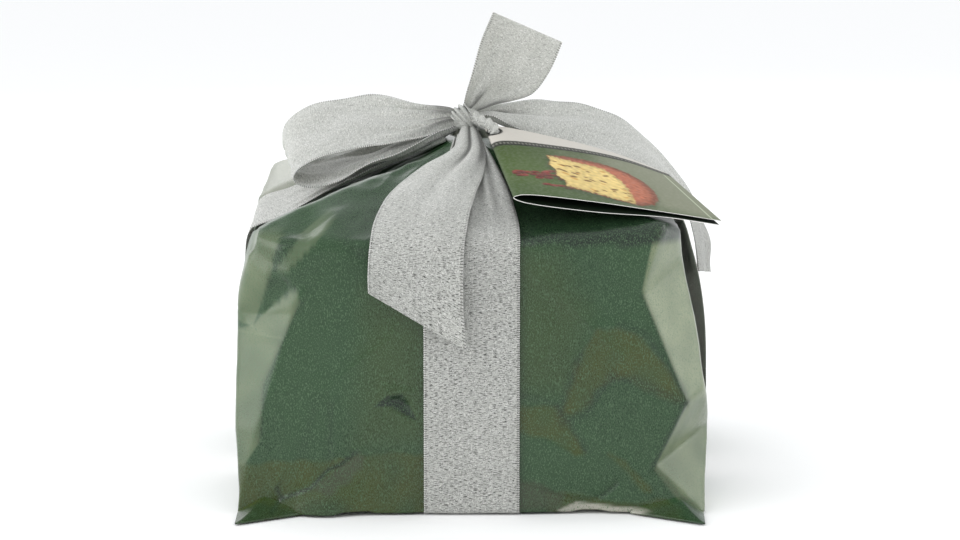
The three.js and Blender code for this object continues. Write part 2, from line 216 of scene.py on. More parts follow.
def line_distance(points, stations):
    """Distance from each point to a broken line, and its signed side, left or right."""
    nearest = np.full(points.shape[:-1], np.inf)
    side = np.zeros(points.shape[:-1])
    for a, b in zip(np.asarray(stations[:-1], float), np.asarray(stations[1:], float)):
        edge, rel = b - a, points - a
        share = np.clip((rel @ edge) / (edge @ edge), 0, 1)
        away = np.linalg.norm(rel - share[..., None] * edge, axis=-1)
        cross = edge[0] * rel[..., 1] - edge[1] * rel[..., 0]
        side = np.where(away < nearest, np.sign(cross), side)
        nearest = np.minimum(nearest, away)
    return nearest, side


# ------------------------------------------------------------------ meshes


def grid_faces(rows, columns, closed=False, flip=False):
    """Quads of a grid of rows x columns points, joined end to start if closed."""
    spans = columns if closed else columns - 1
    row, column = np.meshgrid(np.arange(rows - 1), np.arange(spans), indexing="ij")
    here, beyond = row * columns, (column + 1) % columns
    quads = np.stack(
        [here + column, here + beyond, here + columns + beyond, here + columns + column], axis=-1
    ).reshape(-1, 4)
    return quads[:, ::-1] if flip else quads


def new_piece(name, points, finishes, closed=False, flip=False, faces=None, uv=None, layers=None):
    """Puts a grid of points, in millimetres, into a new smooth-shaded object.

    Its faces span the whole grid unless others are given. uv says where each point lies in its
    sheet, and layers hold the numbers or colours that are kept on the points.
    """
    if faces is None:
        faces = grid_faces(*points.shape[:2], closed, flip)
    mesh = bpy.data.meshes.new(name)
    points = points.reshape(-1, 3)
    mesh.vertices.add(len(points))
    mesh.vertices.foreach_set("co", (points * MM).astype(np.float32).ravel())
    mesh.loops.add(faces.size)
    mesh.loops.foreach_set("vertex_index", faces.astype(np.int32).ravel())
    mesh.polygons.add(len(faces))
    starts = np.arange(len(faces), dtype=np.int32) * faces.shape[1]
    mesh.polygons.foreach_set("loop_start", starts)
    mesh.update(calc_edges=True)
    mesh.validate()
    mesh.polygons.foreach_set("use_smooth", np.ones(len(mesh.polygons), bool))
    if uv is not None:
        picked = np.empty(len(mesh.loops), np.int32)
        mesh.loops.foreach_get("vertex_index", picked)
        layer = mesh.uv_layers.new(name="lie")
        layer.uv.foreach_set("vector", uv.reshape(-1, 2)[picked].astype(np.float32).ravel())
    for layer_name, values in (layers or {}).items():
        kind, key = ("FLOAT_COLOR", "color") if values.ndim == 3 else ("FLOAT", "value")
        field = mesh.attributes.new(layer_name, kind, "POINT")
        field.data.foreach_set(key, values.astype(np.float32).ravel())
    for finish in finishes:
        mesh.materials.append(finish)
    piece = bpy.data.objects.new(name, mesh)
    bpy.context.scene.collection.objects.link(piece)
    return piece


def settle(piece, slot, *nodes):
    """Rides a piece on the parcel and hides the CAD nodes it stands for; its slot is not used."""
    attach(piece, BODY)
    if nodes:
        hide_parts(*nodes)
    return piece


def thicken(piece, thickness, rim_slot=0, inner_slot=0):
    """Gives a sheet its thickness, half to each side, with its rim's and inside's finishes."""
    wall = piece.modifiers.new("thickness", "SOLIDIFY")
    wall.thickness = thickness
    wall.offset = 0.0
    wall.material_offset_rim = rim_slot
    wall.material_offset = inner_slot


# ------------------------------------------------------------------ node materials


class Field:
    """A number that varies over a surface; arithmetic on it adds Math nodes."""

    def __init__(self, finish, socket):
        self.finish = finish
        self.socket = socket

    def _math(self, operation, *inputs, clamp=False):
        sockets = {index: getattr(item, "socket", item) for index, item in enumerate(inputs)}
        settings = {"operation": operation, "use_clamp": clamp}
        node = self.finish.add("ShaderNodeMath", settings, sockets)
        return Field(self.finish, node.outputs[0])

    def __add__(self, other):
        return self._math("ADD", self, other)

    __radd__ = __add__

    def __sub__(self, other):
        return self._math("SUBTRACT", self, other)

    def __rsub__(self, other):
        return self._math("SUBTRACT", other, self)

    def __mul__(self, other):
        return self._math("MULTIPLY", self, other)

    __rmul__ = __mul__

    def __truediv__(self, other):
        return self._math("DIVIDE", self, other)

    def __gt__(self, other):
        return self._math("GREATER_THAN", self, other)

    def __lt__(self, other):
        return self._math("LESS_THAN", self, other)

    def wave(self):
        """The sine."""
        return self._math("SINE", self)

    def least(self, other):
        """The lesser of two."""
        return self._math("MINIMUM", self, other)

    def limited(self):
        """The value held between 0 and 1."""
        return self._math("ADD", self, 0.0, clamp=True)

    def spread(self, low, high):
        """0 at low and 1 at high, held between them."""
        return ((self - low) / (high - low)).limited()


class Finish:
    """A node material with one Principled surface."""

    def __init__(self, name, **constants):
        self.material = bpy.data.materials.new(name)
        self.material.use_nodes = True
        self.tree = self.material.node_tree
        self.surface = self.tree.nodes["Principled BSDF"]
        for label, value in constants.items():
            self.surface.inputs[label.replace("_", " ")].default_value = value

    def add(self, kind, settings=None, inputs=None):
        """A node of a type, with its settings, then its sockets' values or links."""
        node = self.tree.nodes.new(kind)
        for label, value in (settings or {}).items():
            setattr(node, label, value)
        for label, value in (inputs or {}).items():
            socket = node.inputs[label]
            value = getattr(value, "socket", value)
            if isinstance(value, bpy.types.NodeSocket):
                self.tree.links.new(value, socket)
            else:
                socket.default_value = value
        return node

    def place(self):
        """Object coordinates."""
        return self.add("ShaderNodeTexCoord").outputs["Object"]

    def lie(self):
        """The sheet's own coordinates in millimetres: across and along it."""
        return self.add("ShaderNodeUVMap", {"uv_map": "lie"}).outputs["UV"]

    def parts(self, vector):
        """A vector's three numbers."""
        split = self.add("ShaderNodeSeparateXYZ", None, {"Vector": vector})
        return [Field(self, socket) for socket in split.outputs]

    def stretched(self, vector, scale):
        """A vector times three numbers."""
        node = self.add("ShaderNodeVectorMath", {"operation": "MULTIPLY"}, {0: vector, 1: scale})
        return node.outputs[0]

    def noise(self, vector, scale, detail, roughness=0.5, distortion=0.0):
        """Soft noise between about 0.25 and 0.75."""
        inputs = {
            "Vector": vector,
            "Scale": scale,
            "Detail": detail,
            "Roughness": roughness,
            "Distortion": distortion,
        }
        return Field(self, self.add("ShaderNodeTexNoise", None, inputs).outputs["Fac"])

    def cells(self, vector):
        """A random number for each whole-number cell of a vector."""
        whole = self.add("ShaderNodeVectorMath", {"operation": "FLOOR"}, {0: vector}).outputs[0]
        settings = {"noise_dimensions": "3D"}
        node = self.add("ShaderNodeTexWhiteNoise", settings, {"Vector": whole})
        return Field(self, node.outputs["Value"])

    def attribute(self, name, output="Fac"):
        """A value kept on the piece's points."""
        node = self.add("ShaderNodeAttribute", {"attribute_name": name})
        socket = node.outputs[output]
        return Field(self, socket) if output == "Fac" else socket

    def mix(self, factor, first, second):
        """The second colour over the first one by a factor."""
        # Mix keeps a set of sockets for each data type: 6 and 7 are its colours, 2 its result.
        inputs = {0: factor, 6: first, 7: second}
        return self.add("ShaderNodeMix", {"data_type": "RGBA"}, inputs).outputs[2]

    def bump(self, height, distance, strength, under=None):
        """A bump of a height field, in metres, over another one."""
        inputs = {"Strength": strength, "Distance": distance, "Height": height}
        if under is not None:
            inputs["Normal"] = under
        return self.add("ShaderNodeBump", None, inputs).outputs[0]

    def feed(self, **fields):
        """Links fields to the surface's sockets."""
        for label, value in fields.items():
            socket = self.surface.inputs[label.replace("_", " ")]
            self.tree.links.new(getattr(value, "socket", value), socket)
        return self.material


def film_finish(colours):
    """Crisp film: linen grain and soft mottling over the colours kept on its points."""
    finish = Finish("green_film", Specular_IOR_Level=0.45, Coat_Roughness=0.12)
    place = finish.place()
    tone = finish.attribute("tone", "Color")
    cloudy = finish.noise(place, 22.0, 3.0, 0.55)
    grain = finish.noise(finish.stretched(place, (1.0, 1.0, 0.5)), 2700.0, 1.0, 0.5)
    colour = finish.mix(cloudy.spread(0.65, 0.3) * 0.25, tone, colours.film_deep_shade_and_mottle)
    colour = finish.mix(grain.spread(0.5, 0.25) * 0.16, colour, colours.film_deep_shade_and_mottle)
    colour = finish.mix(grain.spread(0.5, 0.72), colour, colours.film_grain)
    creased = finish.bump(finish.noise(place, 190.0, 3.0, 0.6, 0.6), 0.0006, 0.16)
    normal = finish.bump(grain, 0.00012, 0.6, creased)
    rough = 0.2 + 0.1 * cloudy + 0.08 * grain
    return finish.feed(Base_Color=colour, Roughness=rough, Coat_Weight=0.1 * cloudy, Normal=normal)


def ribbon_finish(colours):
    """Silver lame: a fine irregular weave, painted glints on threads and along the edges, ticked
    selvedges, and painted shade kept on its points.
    """
    finish = Finish(
        "woven_lame",
        Metallic=0.2,
        Sheen_Weight=0.15,
        Subsurface_Weight=0.45,
        Subsurface_Scale=0.0016,
        Subsurface_Radius=(1.0, 1.0, 0.95),
    )
    lie = finish.lie()

    def streaks(per_mm_across, per_mm_along, detail=1.0):
        return finish.noise(finish.stretched(lie, (per_mm_across, per_mm_along, 1.0)), 1.0, detail)

    across, along, _ = finish.parts(lie)
    thread = finish.cells(finish.stretched(lie, (2.6, 3.0, 1.0)))
    slub, speck, broad = streaks(0.5, 4.4), streaks(1.3, 3.4), streaks(0.05, 0.04, 2.0)
    # dark dashes are denser low on the parcel than in the bow
    rise = finish.parts(finish.place())[2]
    dash_density = 0.4 + 0.7 * rise.spread(0.14, 0.09) + 0.5 * rise.spread(0.022, 0.006)
    dashes = slub.spread(0.54, 0.61) * speck.spread(0.37, 0.47) * dash_density
    edge = across.least(RIBBON_WIDTH - across)
    fringe = edge < 0.2 + 1.9 * streaks(0.02, 1.1)
    ticks = ((along * (2 * math.pi / TICK_PITCH)).wave() > 0.4) * fringe
    colour = finish.mix(broad.spread(0.35, 0.65) * 0.12, colours.ribbon, colours.ribbon_shadow)
    for share, over in (
        (thread.spread(0.55, 1.0) * 0.3, colours.ribbon_shadow),
        ((dashes * 1.3).limited() * 0.95, colours.ribbon_weft_and_shade),
        # painted glints on random threads and a painted highlight along both edges
        ((thread < 0.12) * 0.6, colours.ribbon_glint),
        ((edge < 0.45) * 0.6, colours.ribbon_glint),
        (ticks * 0.75, colours.ribbon_weft_and_shade),
        # painted shade kept on the points, in gathered folds and on the right tail's end
        (finish.attribute("shade"), colours.ribbon_weft_and_shade),
    ):
        colour = finish.mix(share, colour, over)
    normal = finish.bump(0.8 * thread + 0.6 * slub - dashes - 0.5 * ticks, 0.00016, 0.6)
    return finish.feed(Base_Color=colour, Roughness=0.5 + 0.2 * thread, Normal=normal)


def card_cover_finish(colours):
    """Glossy coated card whose printed picture is kept on the points."""
    finish = Finish("card_cover", Specular_IOR_Level=0.15)
    picture = finish.attribute("picture", "Color")
    fibre = finish.noise(finish.place(), 700.0, 2.0)
    colour = finish.mix(fibre.spread(0.4, 0.7) * 0.05, picture, colours.card_paper)
    normal = finish.bump(fibre, 0.00004, 0.3)
    return finish.feed(Base_Color=colour, Roughness=0.42 + 0.1 * fibre, Normal=normal)


def card_inside_finish(colours):
    """The dark printed inner pages."""
    finish = Finish("card_inside", Specular_IOR_Level=0.15)
    fibre = finish.noise(finish.place(), 500.0, 2.0)
    colour = finish.mix(fibre.spread(0.3, 0.7) * 0.5, colours.card_inside, colours.film_deep_shade_and_mottle)
    return finish.feed(Base_Color=colour, Roughness=0.5 + 0.1 * fibre)


def card_edge_finish(colours):
    """The white cut edge of the card, with painted shade on it in and round the tie's hole."""
    finish = Finish("card_edge")
    place = finish.place()
    fibre = finish.noise(place, 2500.0, 2.0)
    colour = finish.mix(fibre.spread(0.3, 0.7) * 0.2, colours.card_paper, colours.ribbon)
    x, y, _ = finish.parts(place)
    x, y = x - float(HOLE[0]) * MM, y - float(HOLE[1]) * MM
    near_hole = (x * x + y * y) < ((HOLE_RADIUS + HOLE_SHADE_WIDTH) * MM) ** 2
    # painted shade on the cut edge in and round the tie's hole
    colour = finish.mix(near_hole, colour, colours.card_inside)
    return finish.feed(Base_Color=colour, Roughness=0.7 + 0.1 * fibre)


def mould_finish(colours):
    """Brown greaseproof paper with upright fibres and darker stains."""
    finish = Finish("fluted_paper", Specular_IOR_Level=0.3)
    place = finish.place()
    fibre = finish.noise(finish.stretched(place, (1.0, 1.0, 0.3)), 900.0, 4.0, 0.65)
    stain = finish.noise(place, 40.0, 3.0)
    colour = finish.mix(fibre.spread(0.35, 0.65), colours.mould_dark, colours.mould)
    colour = finish.mix(stain.spread(0.5, 0.75) * 0.4, colour, colours.mould_dark)
    normal = finish.bump(fibre, 0.0002, 0.5)
    return finish.feed(Base_Color=colour, Roughness=0.8 + 0.1 * fibre, Normal=normal)


def crust_finish(colours):
    """Baked crust: deep brown blisters over golden dough, and crumb where it has cracked."""
    finish = Finish("baked_crust", Specular_IOR_Level=0.35)
    place = finish.place()
    bake = finish.noise(place, 28.0, 4.0, 0.6)
    pores = finish.noise(place, 420.0, 3.0, 0.6)
    colour = finish.mix(bake.spread(0.38, 0.62), colours.crust_dark, colours.crust)
    colour = finish.mix(pores.spread(0.5, 0.75) * 0.45, colour, colours.crumb)
    colour = finish.mix(finish.attribute("crack").limited(), colour, colours.crumb)
    normal = finish.bump(pores + bake, 0.0008, 0.5)
    return finish.feed(Base_Color=colour, Roughness=0.62 + 0.25 * pores, Normal=normal)


def floor_finish(colours):
    """Plain pale paper sweep."""
    finish = Finish("stage_paper", Specular_IOR_Level=0.1)
    tooth = finish.noise(finish.place(), 60.0, 2.0)
    colour = finish.mix(tooth * 0.03, colours.stage, colours.card_paper)
    return finish.feed(Base_Color=colour, Roughness=0.85 + 0.1 * tooth)


# ------------------------------------------------------------------ wrapper


def on_front(x, z):
    """A point on the front panel, which leans back slightly as it rises."""
    return (x, -HALF_DEPTH + FRONT_LEAN * z, z)


def turned(group):
    """A group of facets turned half round, for the back."""
    return [[(-x, -y, z) for x, y, z in facet] for facet in group]


RIGHT_TOP, RIGHT_NOTCH, RIGHT_KNEE = on_front(75.5, 117), on_front(68, 91), on_front(87, 46)
RIGHT_LOW_NOTCH, RIGHT_FOOT = on_front(73.5, 20), on_front(92, 2)
RIGHT_SIDE, RIGHT_BELLY = (87, -60, 102), (RIGHT_X, -50, RIGHT_BELLY_Z)
LEFT_TOP, LEFT_NOTCH, LEFT_FOOT = on_front(-80.4, 115), on_front(-72, 91), on_front(-93, 21)
LEFT_SIDE = (-90, -74, 79.7)

FRONT_GROUPS = [
    [[on_front(-60, 0), on_front(60, 0), on_front(0, SHOULDER_Z)]],
    [
        [RIGHT_TOP, RIGHT_NOTCH, RIGHT_SIDE],
        [RIGHT_NOTCH, RIGHT_KNEE, RIGHT_SIDE],
    ],
    [
        [RIGHT_KNEE, RIGHT_LOW_NOTCH, RIGHT_BELLY],
        [RIGHT_LOW_NOTCH, RIGHT_FOOT, RIGHT_BELLY],
    ],
    [
        [LEFT_TOP, LEFT_NOTCH, LEFT_SIDE],
        [LEFT_NOTCH, LEFT_FOOT, LEFT_SIDE],
    ],
    [
        [on_front(-80, SHOULDER_Z), on_front(-20, SHOULDER_Z), (-44, -39, 134.6)],
        [on_front(18, SHOULDER_Z), on_front(75.5, 117.5), (18, -10, 148.3)],
    ],
]
SIDE_GROUPS = [
    [[(LEFT_X, -60, 0), (LEFT_X, 60, 0), (LEFT_X, 0, 95)]],
    [[(LEFT_X, -60, 95), (LEFT_X, 60, 95), (-95, 0, 115)]],
    [[(RIGHT_X, -60, RIGHT_BELLY_Z), (RIGHT_X, 60, RIGHT_BELLY_Z), (84.7, 0, 115)]],
    [[(RIGHT_X, -60, RIGHT_BELLY_Z), (RIGHT_X, 60, RIGHT_BELLY_Z), (RIGHT_FOOT_X, 0, 0)]],
    [[(-60, 0, NECK_Z), (60, 0, NECK_Z), (0, 60, NECK_Z)]],
    [
        [(0, 0, 147), (-95, 0, 101.9), (-60, -60, 128.1)],
        [(0, 0, 149), (-95, 0, 109.7), (-60, 60, 138.6)],
    ],
    [[(LEFT_X + 0.5, -70, 86), (-90.5, -62, 114), (-96, -10, 114)]],
    [[(LEFT_X + 0.5, 78, 0), (-97, 78, 110), (-86, 88.4, 60)]],
    [
        [(0, 0, 147), (84.6, 0, 114.9), (60, -60, 125.4)],
        [(0, 0, 147), (84.6, 0, 114.9), (60, 60, 128)],
    ],
]
BACK_GROUPS = [turned(FRONT_GROUPS[index]) for index in (0, 3, 4)]
FACET_GROUPS = FRONT_GROUPS + SIDE_GROUPS + BACK_GROUPS


def facet_reach(origin, heading, fold, valley):
    """How far each ray runs to the film: the soft least over facet groups of the plane distance.

    A ray from O along D meets a plane n.p = d at (d - n.O) / (n.D). In a group of two planes the
    farther one counts, so the pair meets in a valley.
    """
    reaches = []
    for group in FACET_GROUPS:
        pair = []
        for corners in group:
            a, b, c = np.asarray(corners, float)
            normal = unit(np.cross(b - a, c - a))
            normal = normal if normal @ (a - BODY_CENTRE) > 0 else -normal
            facing = heading @ normal
            gap = normal @ a - origin @ normal
            pair.append(np.where(facing > 1e-3, gap / np.maximum(facing, 1e-3), FAR))
        reach = pair[0] if len(pair) == 1 else soft_max(pair, valley)
        reaches.append(np.minimum(reach, FAR))
    return soft_min(reaches, fold)


FAN_Z = 85.0  # below this rays run level from the axis, above it they fan up from one point
CURL = 9.0  # how far the film turns in under the base
COLUMNS = 620  # points round the film
FRONT_ZONE, BACK_ZONE = (80, 86), (80, 86)  # y where the front and back panels set in
ROOF_ZONE = (112, 120)  # z where the roof sets in
HELD_FLAT = (27, 20)  # from a ribbon's middle, where it starts to hold the film, and holds it
RIBBON_BED = (23, 20.5)  # the same for the base folds over the ribbon
BASE_Z, BED_Z = 0.55, 2.35  # heights of the base folds beside and over the ribbon


def wrapper_columns(front, back):
    """Angles round the parcel, closer together in front and near the corners.

    They are even steps of the running sum of a density, front or back strong on those sides.
    """
    fine = np.linspace(0, 2 * np.pi, 2001)
    facing_front = 0.5 - 0.5 * np.sin(fine)
    density = back + (front - back) * smooth_step(facing_front, 0.3, 0.75)
    density *= 1 + 0.9 * np.abs(np.sin(2 * fine)) ** 3
    total = np.concatenate([[0], np.cumsum((density[1:] + density[:-1]) / 2)])
    return np.interp(np.arange(COLUMNS) / COLUMNS * total[-1], total, fine)


def fold_line(points, stations, width, height, step):
    """A creased ridge along a broken line in the panel, and a step down on its left."""
    away, side = line_distance(points, stations)
    ridge = height * np.exp(-away / width)
    return ridge + step * side * np.exp(-away / (3 * width))


LOWER_FOLD = [(-48, 26), (-54.5, 20.8), (-59.4, 18.7), (-67, 11.2), (-79, 6.5)]
SHOULDER_FOLD = [(-52, 113), (-46, 108), (-38, 106)]
FRONT_CREASES = [
    # stations as (x, z), width, height, step
    (LOWER_FOLD, 0.9, -0.2, 0.3),
    ([(-79, 6.5), (-81.5, 10), (-80, 13)], 1.0, 0.6, 0.4),
    ([(-79, 6.5), (-84, 1)], 1.1, -0.6, 0.4),
    ([(-58.4, 50), (-58.5, 22)], 1.1, -0.35, 0.12),
    ([(-49.2, 36), (-49.2, 23)], 1.1, -0.3, 0.1),
    (SHOULDER_FOLD, 1.6, -0.7, 0.2),
    ([(-36, 118), (-46, 112), (-52, 113)], 1.4, 0.5, 0.2),
    ([(35, 42), (43, 66), (50, 77), (59, 77.5), (69, 73), (78, 62), (87, 46)], 1.8, 0.25, 0.22),
    ([(38, 42), (46, 43), (56, 56), (63, 56), (76, 48)], 1.4, -0.3, 0.15),
    ([(18, 45), (34, 45), (46, 25), (30, 31)], 1.3, -0.3, 0.2),
    ([(62, 56), (66, 40), (72, 24)], 2.6, -0.5, 0.15),
    ([(59, 13), (54, 8), (50, 6)], 1.2, -1.3, 0.3),
    ([(55, 25), (63, 22), (68, 15), (73, 8)], 1.4, 0.4, 0.2),
    ([(19, 14), (36, 8), (60, 4), (80, 3)], 1.2, 0.3, 0.5),
    ([(24, 60), (30, 66), (32, 76)], 2.2, 0.3, 0.1),
    ([(22, 100), (40, 84), (58, 66)], 3.0, 0.4, 0.2),
    ([(-24, 96), (-34, 74), (-52, 60)], 3.0, 0.4, 0.2),
]

# Folds of the panel's left upper corner and its dent, as (x, z, height) over the flat panel.
CORNER_NET = [
    (-48, 127, 0), (-50, 116, 0), (-57, 107, 0), (-66, 97, 0), (-69, 84, 0), (-78, 71, 0),
    (-93, 68, 0), (-99, 82, 0), (-99, 112, 0), (-84, 119, 0), (-68, 127, 0),
    (-58, 125, 0.2), (-56.5, 120.4, 1.3), (-66.3, 109.8, 1.7), (-77.3, 98.8, 1.2),
    (-70.2, 115.1, -1.9), (-80.1, 101.6, -0.8), (-78.3, 115.1, 0.5), (-82.5, 98.8, 1.9),
    (-91, 75.5, 0.6), (-86.8, 81.1, -1.1), (-75, 95.4, -2.2), (-72.1, 92, -0.2), (-70.5, 88.1, 0.8),
]
DENT_NET = [
    (-47, 45, 0), (-41.2, 44.7, 0.3), (-35.5, 49.6, 1.1), (-28.6, 50.6, 1.1), (-25, 46, 0.6),
    (-22.6, 38.4, 0), (-26.6, 39.6, 0.3), (-33.5, 43.4, 0.4), (-36, 45.4, -1.6), (-32, 47, -3.6),
    (-28.4, 45.2, -3.4), (-26.4, 41.6, -1.8), (-38, 55, 0), (-20, 52, 0), (-20, 34, 0), (-38, 37, 0),
]
DENT_DEPTH = 0.65  # share of its heights that the dent has

# Areas of the front panel that differ in colour, as outlines in (x, z).
OLIVE_PATCHES = [
    [
        (35, 41.7), (35.8, 45.5), (37.5, 48.8), (43.1, 65.8), (50.3, 76.6), (58.4, 77.4),
        (68.2, 73.3), (76.4, 63.4), (86.5, 49), (86.8, 46), (75.4, 48.4), (62.3, 55.9),
        (56.6, 56.3), (49.3, 50.1), (44.8, 42.2), (38.3, 41.7),
    ],
    [(14, 45.6), (34.2, 45.1), (45.8, 25.4), (41.3, 25), (29, 31.3), (14, 36)],
    [(55.2, 24.6), (62.6, 22.8), (66.3, 17.9), (72.1, 9.5), (70, 9.4), (64, 16), (60.5, 20)],
    [(30, 9.5), (60, 4.6), (80, 7.5), (86, 1), (84, -1), (30, -1)],
    [
        (-15, 25.5), (-46, 25.4), (-56, 22.6), (-72, 22.8), (-88, 20.6), (-99, 22), (-99, -2),
        (-15, -2),
    ],
]
FAINT_OLIVE = [
    [(-48, 28), (-44, 92), (-15, 100), (-15, 28)],
    [(15, 50), (15, 112), (34, 108), (46, 84), (40, 52)],
]
# painted shade along the creases and round the olive patches
CREASE_SHADE = [
    # stations as (x, z), width, share
    (LOWER_FOLD, 0.9, 0.9),
    ([(-81, 11), (-79, 6.5), (-82.5, 2.5)], 1.0, 0.7),
    (SHOULDER_FOLD, 1.8, 0.35),
    ([(-58.4, 46), (-58.5, 22)], 1.4, 0.3),
    ([(-64, 48), (-68, 34), (-70, 24)], 2.0, 0.2),
    ([(43.1, 65.8), (38, 52), (35, 41.7)], 2.0, 0.35),
    ([(56, 57), (50, 50), (46, 42), (36, 38)], 2.2, 0.45),
    ([(57, 57), (66, 55.5), (86, 46)], 2.4, 0.45),
    ([(34, 45), (46, 26)], 1.6, 0.4),
    ([(18, 50), (30, 47), (35, 44)], 1.6, 0.3),
    ([(59, 79), (70, 75), (86, 50)], 1.6, 0.4),
    ([(87, 46), (80, 33), (73.5, 20)], 1.3, 0.5),
    ([(73.5, 20), (84, 8), (91, 1)], 1.3, 0.5),
    ([(68, 92), (77, 70), (87, 47)], 1.2, 0.4),
    ([(-70.5, 88), (-77.4, 73), (-86, 53.4), (-87.5, 30.5)], 1.2, 0.35),
]
GREY_PATCHES = [
    [(-47, 26), (-54.5, 20), (-67, 10.6), (-60, 8), (-50, 14), (-44, 24)],
    [(14, 15), (22, 14), (36, 8.4), (36, 1), (14, 1)],
]
# painted shade in the dent and in the hollows of the folds
HOLLOW_SHADE = [
    [(-41.2, 44.7), (-35.5, 49.2), (-29, 50.1), (-23.3, 38.8), (-27.4, 40.9), (-33.5, 44.7)],
    [(-78.5, 99.5), (-77, 97.6), (-72.6, 94.4), (-71.6, 92), (-76, 94.2)],
    [(-83, 99), (-80.5, 98), (-88.5, 78.5), (-91, 75.5), (-88, 86)],
    [(-70.4, 115), (-78, 114), (-82.6, 104), (-80.4, 101)],
    [(50.2, 7), (56, 11), (59.4, 13), (58, 10.4), (52, 6)],
]
REFLECTION_PATCHES = [
    # painted reflection where the corner facets catch the bright studio: outline and how pale it is
    (
        [(-58, 124.5), (-56.5, 120.4), (-66.3, 109.8), (-77.3, 98.8), (-80.1, 101.6), (-70.2, 115.1)],
        0.45,
    ),
    ([(-78.3, 116), (-82.5, 98.8), (-91, 75.5), (-102, 78), (-102, 116)], 0.68),
    ([(-72.1, 93.4), (-70.5, 88.1), (-77.6, 72.5), (-102, 72.5), (-91, 76), (-86.8, 81.1)], 0.62),
    ([(-102, 73), (-77.4, 73), (-86, 53.4), (-87.5, 30.5), (-94.6, 19.6), (-102, 19)], 0.56),
    ([(73.6, 120), (68, 92), (87.2, 46), (110, 46), (110, 120)], 1.15),
    ([(73.7, 18.7), (87.2, 45.5), (91, 47.2), (110, 47), (110, -2), (92, -2), (87, 2)], 0.95),
]
# a pale strip along the hem at the foot of the panel
PALE_HEM = [(34, 1.2), (42, 4.8), (60, 2.8), (82, 1.8), (80, 0.2), (58, 0.3), (38, -0.6)]

# Lines and areas of the roof, as (x, y).
ROOF_VALLEY = [(-66, -21.6), (-44, -18.6), (-31, -14.5)]
ROOF_RIM = [(-60, -27), (-44, -24), (-28, -19)]
# painted reflection on the back-left roof
ROOF_REFLECTION = [(-114, 4), (-60, 3), (-22, 2), (-18, 66), (-56, 104), (-114, 104)]
SHADED_ROOF = [(-56, -96), (-8, -96), (-6, -8), (-40, -24), (-64, -60)]
CARD_SHADE = [(17, -20), (60, -22), (84, -28), (92, -80), (70, -92), (17, -92)]


def fold_net(points, nodes):
    """Height over (x, z) of a net of triangles between nodes, and 0 outside it.

    In a triangle ABC a point is a A + b B + c C with a + b + c = 1; its height is the same mix.
    """
    places = [node[:2] for node in nodes]
    corners, _, triangles, *_ = geometry.delaunay_2d_cdt(places, [], [], 0, 1e-5)
    corners, heights = np.array(corners), np.array([node[2] for node in nodes], float)
    height = np.zeros(points.shape[:-1])
    for a, b, c in triangles:
        edges = np.stack([corners[b] - corners[a], corners[c] - corners[a]], 1)
        share = (points - corners[a]) @ np.linalg.inv(edges).T
        first = 1 - share.sum(-1)
        inside = (share.min(-1) >= 0) & (first >= 0)
        mixed = first * heights[a] + share[..., 0] * heights[b] + share[..., 1] * heights[c]
        height = np.where(inside, mixed, height)
    return height


def film_tone(points, colours):
    """Colour of the film: green, olive where it meets the mould, painted shade in folds, hollows, on
    the ears and under the band and card, painted reflection on the corner facets and roof, and a pale
    hem.
    """
    face, plan, height = points[..., [0, 2]], points[..., :2], points[..., 2]
    ragged = 0.5 * waves(points, 9, 12)
    front = smooth_step(-points[..., 1], 78, 86)
    tone = np.zeros((*points.shape[:-1], 4)) + np.array(colours.film)

    def cover(colour, mask):
        tone[...] = blended(tone, colour, mask)

    def paint(colour, patches, soft, share, where=front):
        # sharp edges stay straight, soft ones are ragged
        rough = 0 if soft < 0.6 else ragged
        for patch in patches:
            inside = smooth_step(polygon_depth(face, patch) + rough, -soft, soft)
            cover(colour, share * where * inside)

    paint(colours.film_pressed, FAINT_OLIVE, 9.0, 0.4)
    paint(colours.film_pressed, OLIVE_PATCHES, 1.4, 0.85 + 0.12 * waves(points, 14, 13))
    paint(colours.film_grey, GREY_PATCHES, 1.6, 0.8)
    y_left, y_right = smooth_step(-points[..., 1], 54, 76), smooth_step(-points[..., 1], 44, 60)
    corner = np.where(points[..., 0] < 0, y_left, y_right) * smooth_step(points[..., 1], -93, -90)
    # painted reflection on the corner facets
    for patch, share in REFLECTION_PATCHES:
        paint(colours.film_painted_reflection, [patch], 0.45, share * (0.9 + 0.12 * waves(points, 16, 14)), corner)
    # painted shade in the dent and in the hollows of the folds
    paint(colours.film_deep_shade_and_mottle, HOLLOW_SHADE[:1], 0.5, 1.0)
    paint(colours.film_painted_shade, HOLLOW_SHADE[1:], 0.5, 0.8)
    # painted shade along the creases
    for line, width, share in CREASE_SHADE:
        cover(colours.film_deep_shade_and_mottle, share * front * bump_at(line_distance(face, line)[0], width))
    on_ear = smooth_step(-points[..., 1], 90.5, 94)
    # a pale strip along the hem at the foot of the panel
    paint(colours.film_pale_hem_and_reflection, [PALE_HEM], 0.5, 0.8, front * (1 - on_ear))
    # painted shade on the ears
    cover(colours.film_painted_shade, 0.6 * on_ear)
    roof = smooth_step(height, 112, 114)
    # painted reflection on the back-left roof
    pale = smooth_step(polygon_depth(plan, ROOF_REFLECTION) + 2 * waves(points, 24, 15), -1, 17)
    cover(colours.film_pale_hem_and_reflection, pale * smooth_step(height, 102, 118) * 0.62)
    # painted shade on the front-left roof
    cover(colours.film_painted_shade, smooth_step(polygon_depth(plan, SHADED_ROOF), -4, 8) * roof * 0.7)
    # painted shadow under the left band's front edge and under the card
    gap = 1.3 * bump_at(line_distance(plan, ROOF_VALLEY)[0], 2.0)
    shade = smooth_step(polygon_depth(plan, CARD_SHADE), -2, 3)
    shade *= smooth_step(height, 110.6, 111.6)
    cover(colours.film_deep_shade_and_mottle, np.clip(np.maximum(gap * roof, shade), 0, 1))
    return tone


